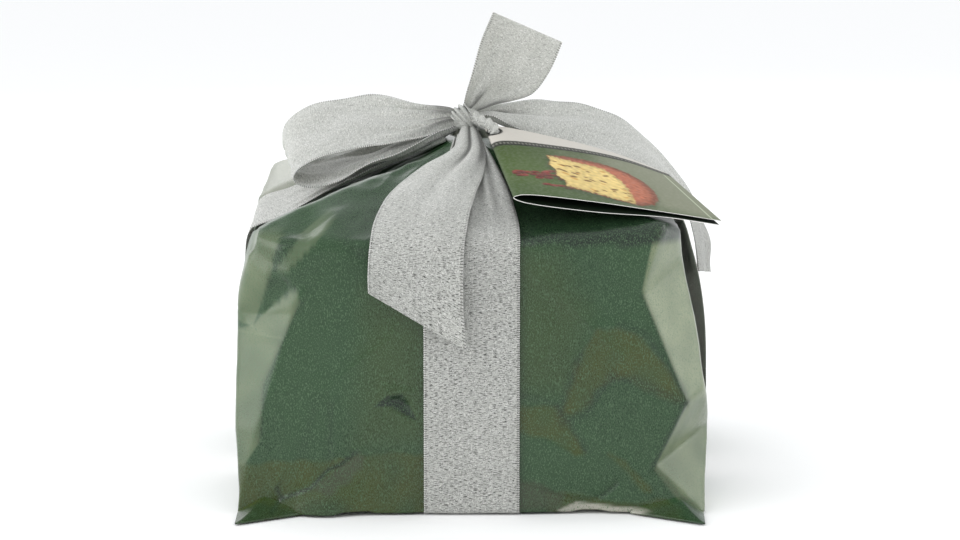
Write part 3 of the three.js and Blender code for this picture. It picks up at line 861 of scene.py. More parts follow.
def film_rays():
    """The rays that find the film: where each starts, its heading, and its row's rise.

    A ray heads along (cos rise cos a, cos rise sin a, sin rise). The lower rows run level, with
    no rise, from the axis at their own height; the upper ones fan up from (0, 0, FAN_Z).
    """
    angle = wrapper_columns(front=2.0, back=0.6)
    # four rows by the floor, even ones up to the fan, then the fan's own
    fan = np.radians(np.concatenate([np.linspace(0, 60, 44), np.linspace(61.2, 88.2, 14)]))
    heights = np.concatenate([[0.7, 1.4, 2.3, 3.4], np.linspace(4.5, FAN_Z, 88)[:-1]])
    rise = np.concatenate([np.zeros(len(heights)), fan])[:, None]
    level = np.cos(rise)
    heading = np.stack(
        [level * np.cos(angle), level * np.sin(angle), np.sin(rise) + 0 * angle], -1
    )
    origin = np.zeros_like(heading)
    origin[..., 2] = np.concatenate([heights, np.full(len(fan), FAN_Z)])[:, None]
    return origin, heading, rise


def front_and_roof(points):
    """Masks of 0 to 1 over the front panel and over the roof."""
    front = smooth_step(-points[..., 1], *FRONT_ZONE)
    return front, smooth_step(points[..., 2], *ROOF_ZONE)


def film_crumple(points, sizes):
    """Crumpled facets of three sizes, strongest at the sides, roof and back, over a slow swell."""
    x, y, z = np.moveaxis(points, -1, 0)
    front, roof = front_and_roof(points)
    back, corner = smooth_step(y, *BACK_ZONE), smooth_step(np.abs(x), 52, 76)
    side = smooth_step(np.abs(x), 88, 94) * (1 - roof)
    strength = 0.1 + 0.14 * corner * front + 0.2 * side + 0.2 * roof + 0.3 * back
    strength = np.minimum(strength + 0.2 * smooth_step(z, 22, 4), 1.0)
    ridged = -facets(points, 70, 0.085, 0.0028, 21)
    pillowed = facets(points, 170, 0.085, 0.006, 22)
    fine = -facets(points, 560, 0.07, 0.018, 23)
    crumple = sizes.crumple / MM * strength * (0.75 * ridged + 0.5 * pillowed + 0.35 * fine)
    return crumple + 0.35 * waves(points, 60, 24)


def roof_pleats(points, depth):
    """Pleats that run to the neck: depth (0.8 - |sin 9.5 a| - 0.6 |sin 17 a|), less far out."""
    x, y = points[..., 0] - NECK[0], points[..., 1] - NECK[1]
    turn = np.arctan2(y, x)
    gather = np.abs(np.sin(9.5 * turn + 0.8 * waves(points, 30, 25)))
    gather += 0.6 * np.abs(np.sin(17 * turn + 1.1 * waves(points, 22, 26)))
    return depth * (0.8 - gather) * np.exp(-np.hypot(x, y) / 42)


def film_relief(points, sizes, rise):
    """How far the film stands off its facets: crumple, creases, folds, dent and roof pleats.

    It dies out where the top closes on the neck.
    """
    x, y, z = np.moveaxis(points, -1, 0)
    face, plan = np.stack([x, z], -1), points[..., :2]
    front, roof = front_and_roof(points)
    relief = film_crumple(points, sizes)
    for stations, width, height, step in FRONT_CREASES:
        relief += front * fold_line(face, stations, width, height, step)
    nets = fold_net(face, CORNER_NET) + DENT_DEPTH * fold_net(face, DENT_NET)
    relief += smooth_step(-y, 60, 70) * nets
    # the foot of the panel swells out on the left
    relief += front * 6.0 * bump_at(x + 62, 14) * smooth_step(z, 17, 0)
    # a rim over a valley in front of the left band, and pleats all round
    relief += roof * (1.4 * bump_at(line_distance(plan, ROOF_RIM)[0], 1.8))
    relief += roof_pleats(points, roof * sizes.roof_pleat / MM)
    # a ribbon holds the film flat
    under = smooth_step(np.abs(x - BAND_CENTRE_X), *HELD_FLAT)
    under = np.clip(under + smooth_step(np.abs(y), *HELD_FLAT), 0, 1)
    relief = relief * (1 - under) + (0.35 * np.minimum(relief, 0.2) - 0.3) * under
    relief -= roof * 4.0 * bump_at(line_distance(plan, ROOF_VALLEY)[0], 2.6)
    return relief * (1 - smooth_step(rise, 1.3, 1.5))


def turned_in(points):
    """The film's rows after four more that turn in under the base, along an uneven edge."""
    foot = points[0].copy()
    lift = 0.55 + 0.9 * smooth_step(waves(foot, 34, 27), 0.2, 1.6)
    points[:4, :, 2] += (lift - 0.55)[None] * np.array([1, 0.8, 0.5, 0.2])[:, None]
    inward = unit(np.stack([-foot[:, 0], -foot[:, 1], np.zeros(len(foot))], -1))
    curl = []
    for share in (1.0, 0.6, 0.25, 0.06):
        row = points[0] + inward * CURL * share
        row[:, 2] = lift * (1 - 0.45 * math.sqrt(share)) + 0.25
        curl.append(row)
    return np.concatenate([np.stack(curl), points])


def wrapper_surface(sizes):
    """The film skin as P(row, column) = O + r D + h N.

    O and D are a ray's start and heading, r how far it runs to the facets, N the skin's outward
    normal there and h its relief. The topmost rows are drawn over to the neck.
    """
    origin, heading, rise = film_rays()
    reach = facet_reach(origin, heading, fold=sizes.fold_radius / MM, valley=0.5)
    points = origin + heading * reach[..., None]
    points[..., :2] += smooth_step(rise, 1.05, 1.52)[..., None] * NECK[:2]
    outward = -grid_normals(points)
    outward *= np.sign((outward * (points - BODY_CENTRE)).sum(-1, keepdims=True))
    return turned_in(points + outward * film_relief(points, sizes, rise)[..., None])


EARS = {
    # tip on the floor, the two ends of its root on the parcel, and how high the root stands
    "wrapper_ear_front_left": ((-96.5, -107.0), (-97.5, -74.0), (-66.0, -89.0), 10.0),
    "wrapper_ear_front_right": ((93.2, -107.0), (64.0, -89.0), (95.0, -74.0), 11.0),
    "wrapper_ear_back_right": ((94.5, 97.0), (97.0, 76.0), (77.0, 88.2), 9.0),
    "wrapper_ear_back_left": ((-91.7, 97.0), (-73.5, 88.2), (-95.0, 76.0), 11.0),
}


def ear_surface(tip, root_a, root_b, height, seed):
    """A folded triangle of film: u from its tip to its root, v from side to side.

    P = tip + u (root(v) - tip). It rises as height u^1.4 (1 - |2v - 1|^1.25), a tent with a
    fold down its middle, and closes underneath with a second layer.
    """
    u = np.linspace(0.015, 1, 26)[:, None]
    v = np.linspace(0, 1, 33)[None, :]
    tip, root_a, root_b = (np.array(p) for p in (tip, root_a, root_b))
    root = root_a + (root_b - root_a) * v[..., None]
    flat = tip + u[..., None] * (root - tip)
    tent = 1 - np.abs(2 * v - 1) ** 1.25
    rise = 0.9 + height * u**1.4 * tent + 0.35 * np.sin(9 * u + 7 * v) * u * tent
    upper = np.concatenate([flat, rise[..., None]], -1)
    upper[..., 2] += 0.15 * waves(upper, 8, seed) * (u * tent)
    lower = np.concatenate([flat, np.full_like(flat[..., :1], 0.35)], -1)
    return np.concatenate([upper, lower[:, ::-1]], axis=1)


def base_surface():
    """The folded underside: rings from the middle out to a rounded outline, with envelope folds.

    z = BED_Z where a ribbon runs beneath, else BASE_Z plus a step for each folded flap.
    """
    angle = np.linspace(0, 2 * np.pi, 240, endpoint=False)
    share = np.linspace(0.0, 1.0, 60)[:, None]
    cos, sin = np.cos(angle), np.sin(angle)
    outline = 1 / ((np.abs(cos) / 92.0) ** 9 + (np.abs(sin) / 84.5) ** 9) ** (1 / 9)
    x, y = share * outline * cos, share * outline * sin
    flap = 0.35 * smooth_step(np.abs(x) - np.abs(y) * 1.05 + 4, -0.8, 0.8)
    z = BASE_Z + flap + 0.12 * waves(np.stack([x, y], -1), 18, 31)
    over_x = smooth_step(np.abs(x - BAND_CENTRE_X), *RIBBON_BED)
    ribbon = np.maximum(over_x, smooth_step(np.abs(y), *RIBBON_BED))
    z = z * (1 - ribbon) + BED_Z * ribbon
    return np.stack([x, y, z], -1)


# ------------------------------------------------------------------ ribbon

LIE_TOOTH = 0.13  # how far the woven edge stands in and out
RIBBON_STEP = 0.45  # between two rows of points along a ribbon
BAND_COLUMNS, BOW_COLUMNS = 34, 54  # points across a ribbon
BAND_FOLDS = {"columns": BAND_COLUMNS, "pleats": 4, "slack": 0.55, "ripple": 0.05}


def strand(edge_a, edge_b, columns, pleats, seed, slack, ripple, camber=0.0):
    """A ribbon between two edge curves A and B, gathered where they draw together.

    P(s, t) = (1 - t) A(s) + t B(s) + h(s, t) N(s). Where the edges are w apart and the ribbon is
    W wide, h = a sin(2 pi n t + phase) with a = w / (pi n) sqrt((W / w)^2 - 1), so the folded
    width stays W. Returns the points, their lie in the ribbon, its length and its folds' shade.
    """
    middle = (np.asarray(edge_a, float) + np.asarray(edge_b, float)) / 2
    places, length = even_places(middle, RIBBON_STEP)
    a, b = curve(edge_a, places), curve(edge_b, places)
    t = np.linspace(0, 1, columns)
    along = running_length((a + b) / 2)
    across = b - a
    width = np.linalg.norm(across, axis=1)
    normal = unit(np.cross(np.gradient((a + b) / 2, axis=0), across))
    points = a[:, None] + across[:, None] * t[None, :, None]
    tight = np.clip(RIBBON_WIDTH / np.maximum(width, 3.0), 1.0, 3.2)
    fold = slack * width / (np.pi * pleats) * np.sqrt(tight**2 - 1)
    rng = np.random.default_rng(seed)
    warp = 0.35 * np.sin(2 * np.pi * (t * 1.3 + rng.uniform())) + rng.uniform(0, 6)
    drift = 0.5 * np.sin(along / 23.0 + rng.uniform(0, 6))[:, None]
    wave = sharpened(np.sin(2 * np.pi * pleats * t + warp * 1.6 + drift), 0.25)
    uneven = 0.75 + 0.35 * np.sin(2 * np.pi * (1.7 * t + rng.uniform()))
    lie = np.stack([t * RIBBON_WIDTH + 0 * along[:, None], along[:, None] + 0 * t], -1)
    height = fold[:, None] * wave * uneven
    height = height + ripple * waves(lie, 26, seed + 1) * smooth_step(width, 12, 34)[:, None]
    height = height + camber * (1 - (2 * t - 1) ** 2)
    points = points + normal[:, None] * height[..., None]
    # the woven edges stand in and out by turns
    tooth = LIE_TOOTH * np.where(np.arange(len(along)) % 2, 1, -1)[:, None]
    edge = np.zeros(columns)
    edge[[0, -1]] = -1, 1
    points = points + unit(across)[:, None] * (tooth * edge)[..., None]
    gathered = smooth_step(tight, 1.15, 2.4)[:, None]
    shade = 0.75 * gathered * smooth_step(-wave, 0.1, 1.0)
    return points, lie, length, shade


def ribbon_piece(name, surface, nodes):
    points, lie, length, shade = surface
    piece = new_piece(name, points, [woven_ribbon()], uv=lie, layers={"shade": shade})
    thicken(piece, settings()[0].ribbon_thickness)
    settle(piece, "ribbon", *nodes)
    return piece


def band_edges(stations, across_x):
    """Two edge lines from stations of a band: its centre x, y, z and, if given, three more.

    They are its half width, how far its back edge lies to the right of its centre, and above.
    """
    edges = [], []
    for x, y, z, *more in stations:
        half, right, up = [*more, *(HALF_RIBBON, 0, 0)[len(more) :]]
        for edge, side in zip(edges, (-1, 1)):
            lifted = (x + side * right, y + side * half, z + side * up)
            edge.append((x + side * half, y, z) if across_x else lifted)
    return edges


# How both bands run over a shoulder, down the panel and under, as (y from the middle, z).
PANEL_RUN = [
    (84.5, 115.2), (88.6, 110.5), (89.3, 100), (89.5, 80), (89.9, 40), (90.2, 12), (90.2, 2.2),
    (88.9, 0.5), (84, 0.4),
]
FRONT_BAND = [
    (-3, -14, 147.9, 5.5), (-1.6, -32, 140, 10), (BAND_CENTRE_X, -52, 130.6, 15),
    (BAND_CENTRE_X, -74, 120, 18.8), *((BAND_CENTRE_X, -y, z) for y, z in PANEL_RUN),
]
BACK_BAND = [
    *((BAND_CENTRE_X, y, z) for y, z in reversed(PANEL_RUN)), (BAND_CENTRE_X, 74, 120, 18.8),
    (BAND_CENTRE_X, 52, 130.8, 15), (-1.6, 31, 141, 10.5), (-2.4, 16, 147.8, 7.5),
    (-3, 5, 149.6, 5.5),
]
LEFT_BAND = [
    (-13, -3, 147, 6, 0, 0.6), (-36, -1, 137.8, 13, 0, 1), (-62, 0, 127, 17.5, 0, 2.2),
    (-84, 0, 117, 19.2, 0, 3.8), (-93, 0, 114, HALF_RIBBON, 0, 4),
    (-96, 0, 112, HALF_RIBBON, 0, 3.6), (-98, 0, 105.4, HALF_RIBBON, 0, 1), (-98.9, 0, 97),
    (-99.2, 0, 84), (-99.2, 0, 40), (-99.2, 0, 12), (-99.0, 0, 3.0), (-97.6, 0, 1.55),
    (-92, 0, 1.5),
]
RIGHT_BAND = [
    (87, 0, 1.5), (92.6, 0, 1.55), (94.6, 0, 3.2), (98.2, 0, 16), (100.5, 0, 32),
    (99.8, 0, 50, HALF_RIBBON, -0.8), (98.2, 0, 66, HALF_RIBBON, -1.8),
    (95.2, 0, 84, HALF_RIBBON, -2.6), (91.4, 0, 100, HALF_RIBBON, -2.5),
    (86.6, 0, 116.4, HALF_RIBBON, -0.8), (70, -0.5, 125.2, 18), (38, -2, 137, 13),
    (8, -3, 147.4, 5.5),
]

LEFT_LOOP = [
    [
        (-6, -7, 153.5), (-14, -9.5, 151), (-24, -12, 147.6), (-38, -15, 144.4), (-54, -17, 142.2),
        (-68, -18, 138.6), (-76.5, -18.3, 133.4), (-77.6, -18.6, 129.4), (-72, -19.4, 127),
        (-60.5, -20, 128.6), (-48, -19.6, 134), (-37, -18, 138.6), (-24, -13.5, 143.6),
        (-14, -9, 148.4), (-6, -7, 151),
    ],
    [
        (-6, -2, 157.2), (-13, 4, 158.4), (-22, 10, 159.6), (-40, 17, 162.6), (-58, 20, 161.4),
        (-74, 19, 157), (-83.6, 17.5, 149.6), (-84.6, 17, 140.6), (-77, 17, 138),
        (-64, 17.5, 138.4), (-50, 16.5, 141), (-38, 13, 143), (-25, 7.5, 145.6), (-14, 1, 149.4),
        (-6, -3, 152),
    ],
]
FRONT_TAIL = [
    [
        (-5, -7, 152.5), (-6.5, -15, 149.6), (-9, -27, 144.4), (-22, -43, 138), (-32, -58, 132),
        (-39.5, -78, 123), (-42, -92, 111.5), (-42.7, -95, 101), (-42.7, -95, 92.8),
    ],
    [
        (0, -7, 152.5), (2.6, -15, 149), (4.8, -30, 143.4), (4, -46, 137), (1, -62, 130.6),
        (-2, -80, 122.9), (-4, -93.4, 111), (-4.4, -95.8, 90), (-3.2, -95.8, 69.6),
    ],
]
RIGHT_TAIL = [
    [
        (-1, -6, 155), (6, -6.6, 154.8), (16, -10, 150.4), (30, -12.8, 146.2), (55, -15.8, 140),
        (72.6, -17, 133.8), (84, -17, 127.6), (89.8, -16, 120), (94.2, -13, 105), (97.4, -12, 88.7),
    ],
    [
        (-1, -2, 157), (5, 2.5, 158.6), (16, 9, 160), (30.7, 14, 160.5), (54.7, 18, 156.8),
        (72, 20, 147), (87, 20.5, 131.5), (98.5, 21, 113.4), (105.2, 22, 97), (106, 22, 83),
    ],
]
UP_TAIL = [
    [
        (-5, -5, 157), (-4.4, -6, 162.6), (-2.6, -7, 170), (0, -8, 179), (3.3, -9, 189.4),
        (8, -10, 201),
    ],
    [
        (-1.5, -4, 157), (8, -2, 160.2), (17, 2, 161.8), (25.6, 5, 164.6), (32, 8, 172.6),
        (38.4, 12, 186.6),
    ],
]

KNOT_CENTRE = NECK + np.array([0.0, 0.0, 8.0])
KNOT_RADII = np.array([6.8, 6.8, 5.4])
KNOT_GIRTH = 6.5  # mean radius of that fold's ring


def knot_core():
    """An egg of gathered ribbon: radii times 1 + ridges that wind round a slanting axis."""
    around = np.linspace(0, 2 * np.pi, 120, endpoint=False)
    down = np.linspace(0.02, np.pi - 0.02, 70)[:, None]
    level = np.sin(down)
    ball = np.stack(
        [level * np.cos(around), level * np.sin(around), np.cos(down) + 0 * around], -1
    )
    slant = ball @ np.array([0.66, 0.1, 0.74])
    ridges = 0.045 * np.abs(np.sin(11 * slant + 0.9 * waves(ball, 1.6, 41)))
    shape = (0.9 + ridges + 0.03 * waves(ball, 0.9, 42))[..., None]
    lie = np.stack(np.meshgrid(np.arange(120) * 0.32, np.arange(70) * 0.26), -1)
    return KNOT_CENTRE + KNOT_RADII * ball * shape, lie


def knot_wrap():
    """The turn of ribbon round the knot: a gathered band carried round a slanting ring.

    P(s, t) = K + R(s, t) (cos s D + 0.95 sin s F) + w(s) (t - 1/2) A, with D, F and A its run,
    face and axis, and pleats in R. Returns what strand returns.
    """
    s = np.linspace(0, 2 * np.pi, 300)[:, None]
    t = np.linspace(0, 1, 49)[None, :]
    run = unit(np.array([0.70, 0.12, -0.70]))
    axis = unit(np.array([0.72, 0.0, 0.70]))
    face = np.cross(run, axis)
    face = face if face[1] < 0 else -face
    width = 7.4 + 1.2 * np.cos(2 * s + 0.6)
    folds = sharpened(np.sin(2 * np.pi * 4.5 * t + 0.7 * np.sin(2 * s) + 1.2 * np.sin(5 * t)), 0.3)
    radius = KNOT_GIRTH - 1.9 * (2 * t - 1) ** 2 + 0.8 * folds * (1 + 0.25 * np.sin(3 * s))
    ring = np.cos(s)[..., None] * run + 0.95 * np.sin(s)[..., None] * face
    points = KNOT_CENTRE + radius[..., None] * ring + (width * (t - 0.5))[..., None] * axis
    lie = np.stack([RIBBON_WIDTH * t + 0 * s, KNOT_GIRTH * s + 0 * t], -1)
    shade = 0.8 * smooth_step(-folds, 0.0, 0.9)
    return points, lie, 2 * np.pi * KNOT_GIRTH, shade


TIE_ROUTE = [
    (-1, -8.5, 155.6), (2.0, -11.6, 154.8), (4.8, -14.8, 153.8), (7.2, -18.0, 153.0),
    (8.5, -20.0, 150.8), (8.6, -20.8, 147.4),
]
TIE_RADIUS = 2.1


def tie_surface():
    """A twisted strand: a three-lobed section carried along the route, turning as it goes.

    Section radius = TIE_RADIUS (1 + 0.22 cos 3(angle + 0.42 s) + 0.06 cos(7 angle - s)), and it
    closes at both ends.
    """
    places, length = even_places(TIE_ROUTE, 0.16)
    path = curve(TIE_ROUTE, places)
    s = running_length(path)[:, None]
    heading = unit(np.gradient(path, axis=0))
    side = unit(np.cross(heading, np.array([0.0, 0.0, 1.0])))
    up = np.cross(side, heading)
    angle = np.linspace(0, 2 * np.pi, 48, endpoint=False)[None, :]
    lobes = 1 + 0.22 * np.cos(3 * (angle + 0.42 * s)) + 0.06 * np.cos(7 * angle - s)
    end = np.sqrt(np.clip(1 - (2 * s / length - 1) ** 24, 0.0, 1.0))
    radius = TIE_RADIUS * lobes * np.maximum(end, 0.02)
    ring = np.cos(angle)[..., None] * side[:, None] + np.sin(angle)[..., None] * up[:, None]
    points = path[:, None] + radius[..., None] * ring
    lie = np.stack([6.2 * angle + 0 * s, s + 0 * angle], -1)
    return points, lie


# ------------------------------------------------------------------ leaflet

LEAFLET = [
    [
        (82.7, -22, 132.6), (60, -18.4, 141), (32, -15.6, 148), (7.6, -15.4, 152.2),
        (4.6, -15.6, 151), (7.6, -15.6, 149.6), (32, -15.8, 145.6), (60, -18.6, 138),
        (82, -22.2, 130.4),
    ],
    [
        (101, -75, 119.4), (80, -78, 123.8), (48, -79, 128.8), (19, -80, 130.9), (16, -80.2, 129.7),
        (19, -80.2, 128.2), (48, -81, 124.4), (78, -80, 121.9), (100, -77, 118),
    ],
]
FOLD_PLACE = 0.5  # the fold's place along the leaflet's curves, at their middle station
LEAF_LENGTH = 82.0
COVER_HEIGHT = 66.0
HOLE = np.array([8.4, -20.4])
HOLE_RADIUS = 2.5
# the ring of painted shade round the tie's hole
HOLE_SHADE_WIDTH = 1.0  # width of the dark ring round the hole
SLICE = [
    (22.4, 24.0), (30, 21.5), (40, 21.2), (50, 21.8), (57, 25.5), (61.5, 33), (62.6, 42),
    (61, 52), (56.5, 60), (50, 63.5), (42, 61.5), (32, 57.5), (23.2, 54.2), (24.2, 48.5),
    (21.4, 44), (22.8, 38.5), (20.8, 33.5), (22.8, 29),
]
CRUMB = [
    (21.5, 23.0), (28, 25), (37, 26.2), (45.5, 27.4), (49, 33), (50.6, 41), (50.2, 50),
    (48.6, 62.2), (42, 60.5), (32, 56.5), (22.4, 53.2), (23.6, 48.5), (20.6, 44),
    (22, 38.5), (20, 33.5), (22, 29),
]


def ground_print(u, v, broad):
    """The card's green ground, greyer away from the fold, with a soft glow by the slice."""
    share = smooth_step(u + 3 * broad, 18, 70)
    colour = blended(np.array(linear(58, 75, 36)), linear(117, 121, 100), share)
    glow = np.exp(-(((u - 12) / 20) ** 2 + ((v - 44) / 22) ** 2))
    colour = blended(colour, linear(84, 104, 56), 0.5 * glow)
    return blended(colour, linear(64, 84, 50), 0.35 * smooth_step(v - 0.1 * u, 50, 58))


def nut_print(colour, u, v, rng):
    """Small red-brown nuts in a loose row beside the slice, and four below it."""
    spots = np.stack([rng.uniform(5, 24, 30), rng.normal(45, 2.6, 30)], -1)
    spots = np.concatenate([spots, [(15.5, 54.6), (18.5, 55), (21.5, 54.4), (24, 56)]])
    for (cu, cv), tone in zip(spots, rng.uniform(0.6, 1.2, len(spots))):
        reach = np.hypot((u - cu) / 1.9, (v - cv + 0.2 * (u - cu)) / 1.15)
        lit = np.clip(0.75 - 0.4 * (v - cv), 0.35, 1.25)[..., None]
        nut = np.asarray(linear(128, 58, 50)) * tone * lit
        colour = blended(colour, nut, smooth_step(reach, 1.15, 0.85))
    return colour


def slice_print(colour, u, v, broad, rng):
    """The cut slice: its shadow, crust all over, crumb on the cut face, and fruit in that."""
    place = np.stack([u, v], -1)
    grain = waves(place, 3.2, 62)
    wobble = 0.35 * waves(place, 2.6, 64) + 0.2 * waves(place, 1.3, 65)
    whole = polygon_depth(place, SLICE) + 0.5 * wobble
    shadow = polygon_depth(place - np.array([-1.0, 2.6]), SLICE)
    colour = blended(colour, linear(52, 66, 38), 0.55 * smooth_step(shadow, -2.2, 1.0))
    crust = np.asarray(linear(150, 88, 64)) * (1 + 0.1 * grain)[..., None]
    crust = crust * (0.55 + 0.65 * smooth_step(whole, 0.2, 5.5)[..., None])
    colour = blended(colour, crust, smooth_step(whole, -0.35, 0.35))
    cut = polygon_depth(place, CRUMB) + wobble
    crumb = np.asarray(linear(206, 182, 116)) * (1 + 0.07 * grain + 0.05 * broad)[..., None]
    crumb = crumb * (1 - 0.28 * smooth_step(cut, 2.4, 0.4)[..., None])
    colour = blended(colour, crumb, smooth_step(cut, -0.3, 0.4) * smooth_step(whole, 0.1, 0.7))
    for _ in range(46):
        cu, cv = rng.uniform(22, 50), rng.uniform(26, 61)
        lean, size = rng.uniform(-0.6, 0.6), rng.uniform(0.55, 1.25)
        reach = np.hypot((u - cu) / (1.5 * size), (v - cv + lean * (u - cu)) / (0.85 * size))
        tone = linear(96, 62, 26) if rng.uniform() < 0.6 else linear(186, 140, 64)
        mask = smooth_step(reach, 1.2, 0.7) * smooth_step(cut, 0.4, 1.4)
        colour = blended(colour, tone, 0.85 * mask)
    return colour


def heading_print(colour, u, v):
    """A pale heading strip over a dark dotted rule, and a thin line by the cover's far edge."""
    rule = 15.8 - 0.175 * u
    paper = smooth_step(v, rule + 0.25, rule - 0.25)
    colour = blended(colour, linear(26, 28, 22), smooth_step(v, rule + 4.6, rule + 4.1))
    stitch = 0.5 + 0.5 * np.sin(2 * np.pi * u / 1.7)
    dots = smooth_step(np.abs(v - rule - 2.0), 1.0, 0.6) * stitch
    colour = blended(colour, linear(150, 150, 140), 0.6 * dots * (1 - paper))
    colour = blended(colour, linear(188, 184, 176), paper)
    frame_line = smooth_step(np.abs(u - 79.6), 0.45, 0.15) * smooth_step(v, 6, 9)
    return blended(colour, linear(196, 208, 180), 0.7 * frame_line)


def cover_picture(u, v):
    """The card's printed colours at u mm from its fold and v mm from its top edge."""
    rng = np.random.default_rng(61)
    broad = waves(np.stack([u, v], -1), 26, 63)
    colour = nut_print(ground_print(u, v, broad), u, v, rng)
    return heading_print(slice_print(colour, u, v, broad, rng), u, v)


def leaflet_surface():
    """The folded sheet P = (1 - t) A(s) + t B(s), and the colours on its outer side.

    Each leaf sags between its corners, the cover more, and the most along its near edge.
    """
    places, _ = even_places((np.asarray(LEAFLET[0]) + np.asarray(LEAFLET[1])) / 2, 0.52)
    a, b = curve(LEAFLET[0], places), curve(LEAFLET[1], places)
    t = np.linspace(0, 1, 124)
    points = a[:, None] + (b - a)[:, None] * t[None, :, None]
    along = running_length((a + b) / 2)
    from_fold = np.interp(FOLD_PLACE, places, along) - along
    out = np.clip(np.abs(from_fold) / LEAF_LENGTH, 0, 1)
    sag = 0.9 * np.sin(np.pi * out)[:, None] * t**2
    points[..., 2] -= sag * np.where(from_fold > 0, 1, 0.4)[:, None]
    u = np.abs(from_fold)[:, None] + 0 * t
    v = COVER_HEIGHT * t + 0 * u
    from_hole = np.linalg.norm(points[..., :2] - HOLE, axis=-1)
    # painted shade in a dark ring round the tie's hole
    hole_shade = smooth_step(from_hole, HOLE_RADIUS + HOLE_SHADE_WIDTH + 0.4, HOLE_RADIUS + HOLE_SHADE_WIDTH)
    picture = blended(cover_picture(u, v), linear(38, 38, 34), hole_shade)
    under = np.asarray(linear(16, 22, 10)) * (1 + 0.06 * waves(points, 9, 66))[..., None]
    colour = blended(under, picture, smooth_step(from_fold, -0.6, 0.6)[:, None])
    colour[..., 3] = 1
    return points, colour


def open_hole(points, faces, centre, radius):
    """Faces left round a hole; points at its rim are moved onto its circle."""
    inner, outer = radius - 0.5, radius + 0.6
    rel = points[..., :2] - centre
    away = np.linalg.norm(rel, axis=-1)
    at_rim = (away < outer) & (away > inner)
    scale = np.where(at_rim, radius / np.maximum(away, 1e-6), 1.0)
    points[..., :2] = centre + rel * scale[..., None]
    inside = (away <= inner).reshape(-1)
    return faces[~inside[faces].any(axis=1)]


# ------------------------------------------------------------------ loaf and mould


def mould_surface(sizes):
    """Fluted paper cup, outside then inside: r = R(z) + depth (|sin(n angle / 2)| - 1)."""
    angle = np.linspace(0, 2 * np.pi, 720, endpoint=False)[None, :]
    flutes = 0.8 * np.abs(np.sin(sizes.flutes * angle / 2)) - 0.8
    share = np.linspace(0, 1, 34)[:, None]
    outer_r = MOULD_RADIUS - MOULD_TAPER * (1 - share) + flutes * smooth_step(share, 0.0, 0.06)
    outer_z = MOULD_FLOOR_Z + (RIM_Z - MOULD_FLOOR_Z) * share + 0 * angle
    floor = np.linspace(0, 1, 8)[:-1, None]
    floor_r = floor * (MOULD_RADIUS - MOULD_TAPER) + 0.002 + 0 * angle
    floor_z = MOULD_FLOOR_Z + 0 * floor_r
    inner_r = (outer_r - MOULD_WALL)[::-1]
    inner_z = np.maximum(outer_z[::-1], MOULD_FLOOR_Z + MOULD_WALL)
    radius = np.concatenate([floor_r, outer_r, inner_r, floor_r[::-1] * 0.99])
    z = np.concatenate([floor_z, outer_z, inner_z, floor_z + MOULD_WALL])
    return np.stack([radius * np.cos(angle), radius * np.sin(angle), z], -1)


def loaf_surface():
    """The loaf: straight sides, then a dome with a cross-shaped crack and blistered crust.

    Dome height = rise (1 - (r / R)^2)^fullness. The crack opens along two slanting lines.
    Returns the points and how open the crack is at each.
    """
    angle = np.linspace(0, 2 * np.pi, 420, endpoint=False)[None, :]
    start = RIM_Z - 3.0
    floor = np.linspace(0.001, 0.98, 10)[:, None]
    side = np.linspace(0, 1, 30)[:, None]
    dome = np.sin(np.linspace(np.pi / 2, 0.0, 90))[1:, None]
    radius = [floor * (LOAF_RADIUS - 2), LOAF_RADIUS - 2 * (1 - side), LOAF_RADIUS * dome]
    radius = np.maximum(np.concatenate(radius), 0.02) + 0 * angle
    sides = LOAF_FLOOR_Z + (start - LOAF_FLOOR_Z) * side
    top = start + DOME_RISE * (1 - dome**2) ** DOME_FULLNESS
    z = np.concatenate([LOAF_FLOOR_Z + 0 * floor, sides, top]) + 0 * angle
    x, y = radius * np.cos(angle), radius * np.sin(angle)
    points = np.stack([x, y, z], -1)
    on_top = smooth_step(z, start, start + 6)
    lines = [np.abs(x * 0.8 + y * 0.6 + 3 * waves(points, 30, 71)), np.abs(x * 0.6 - y * 0.8)]
    crack = np.maximum(bump_at(lines[0], 3.4), bump_at(lines[1] + 2 * waves(points, 24, 72), 3.0))
    crack = crack * on_top * smooth_step(radius, 68, 50)
    crust = 0.5 * waves(points, 16, 73) + 0.25 * np.abs(waves(points, 6, 74))
    relief = on_top * (crust - 0.6) - 2.4 * crack
    return points + unit(points - BODY_CENTRE) * relief[..., None], crack


# ------------------------------------------------------------------ settings


def colour_setting(name, description, colour):
    """A colour the user can change."""
    return bpy.props.FloatVectorProperty(
        name=name, description=description, subtype="COLOR", size=4, min=0, max=1, default=colour
    )


def length_setting(name, description, millimetres):
    """A length the user can change."""
    return bpy.props.FloatProperty(
        name=name, description=description, unit="LENGTH", default=millimetres * MM, precision=5
    )


class ParcelSizes(bpy.types.PropertyGroup):
    """Sizes of the wrapped loaf's sheets and folds."""

    ribbon_thickness: length_setting("Ribbon thickness", "Thickness of the woven ribbon", 0.32)
    film_thickness: length_setting("Film thickness", "Thickness of the base folds and ears", 0.12)
    card_thickness: length_setting("Card thickness", "Thickness of the leaflet", 0.3)
    crumple: length_setting("Crumple", "Depth of the film's crumpled facets", 1.05)
    fold_radius: length_setting("Fold radius", "How round the film's main folds are", 0.9)
    roof_pleat: length_setting("Roof pleat", "Depth of the pleats that run to the knot", 1.7)
    flutes: bpy.props.IntProperty(name="Flutes", description="Flutes round the mould", default=60)


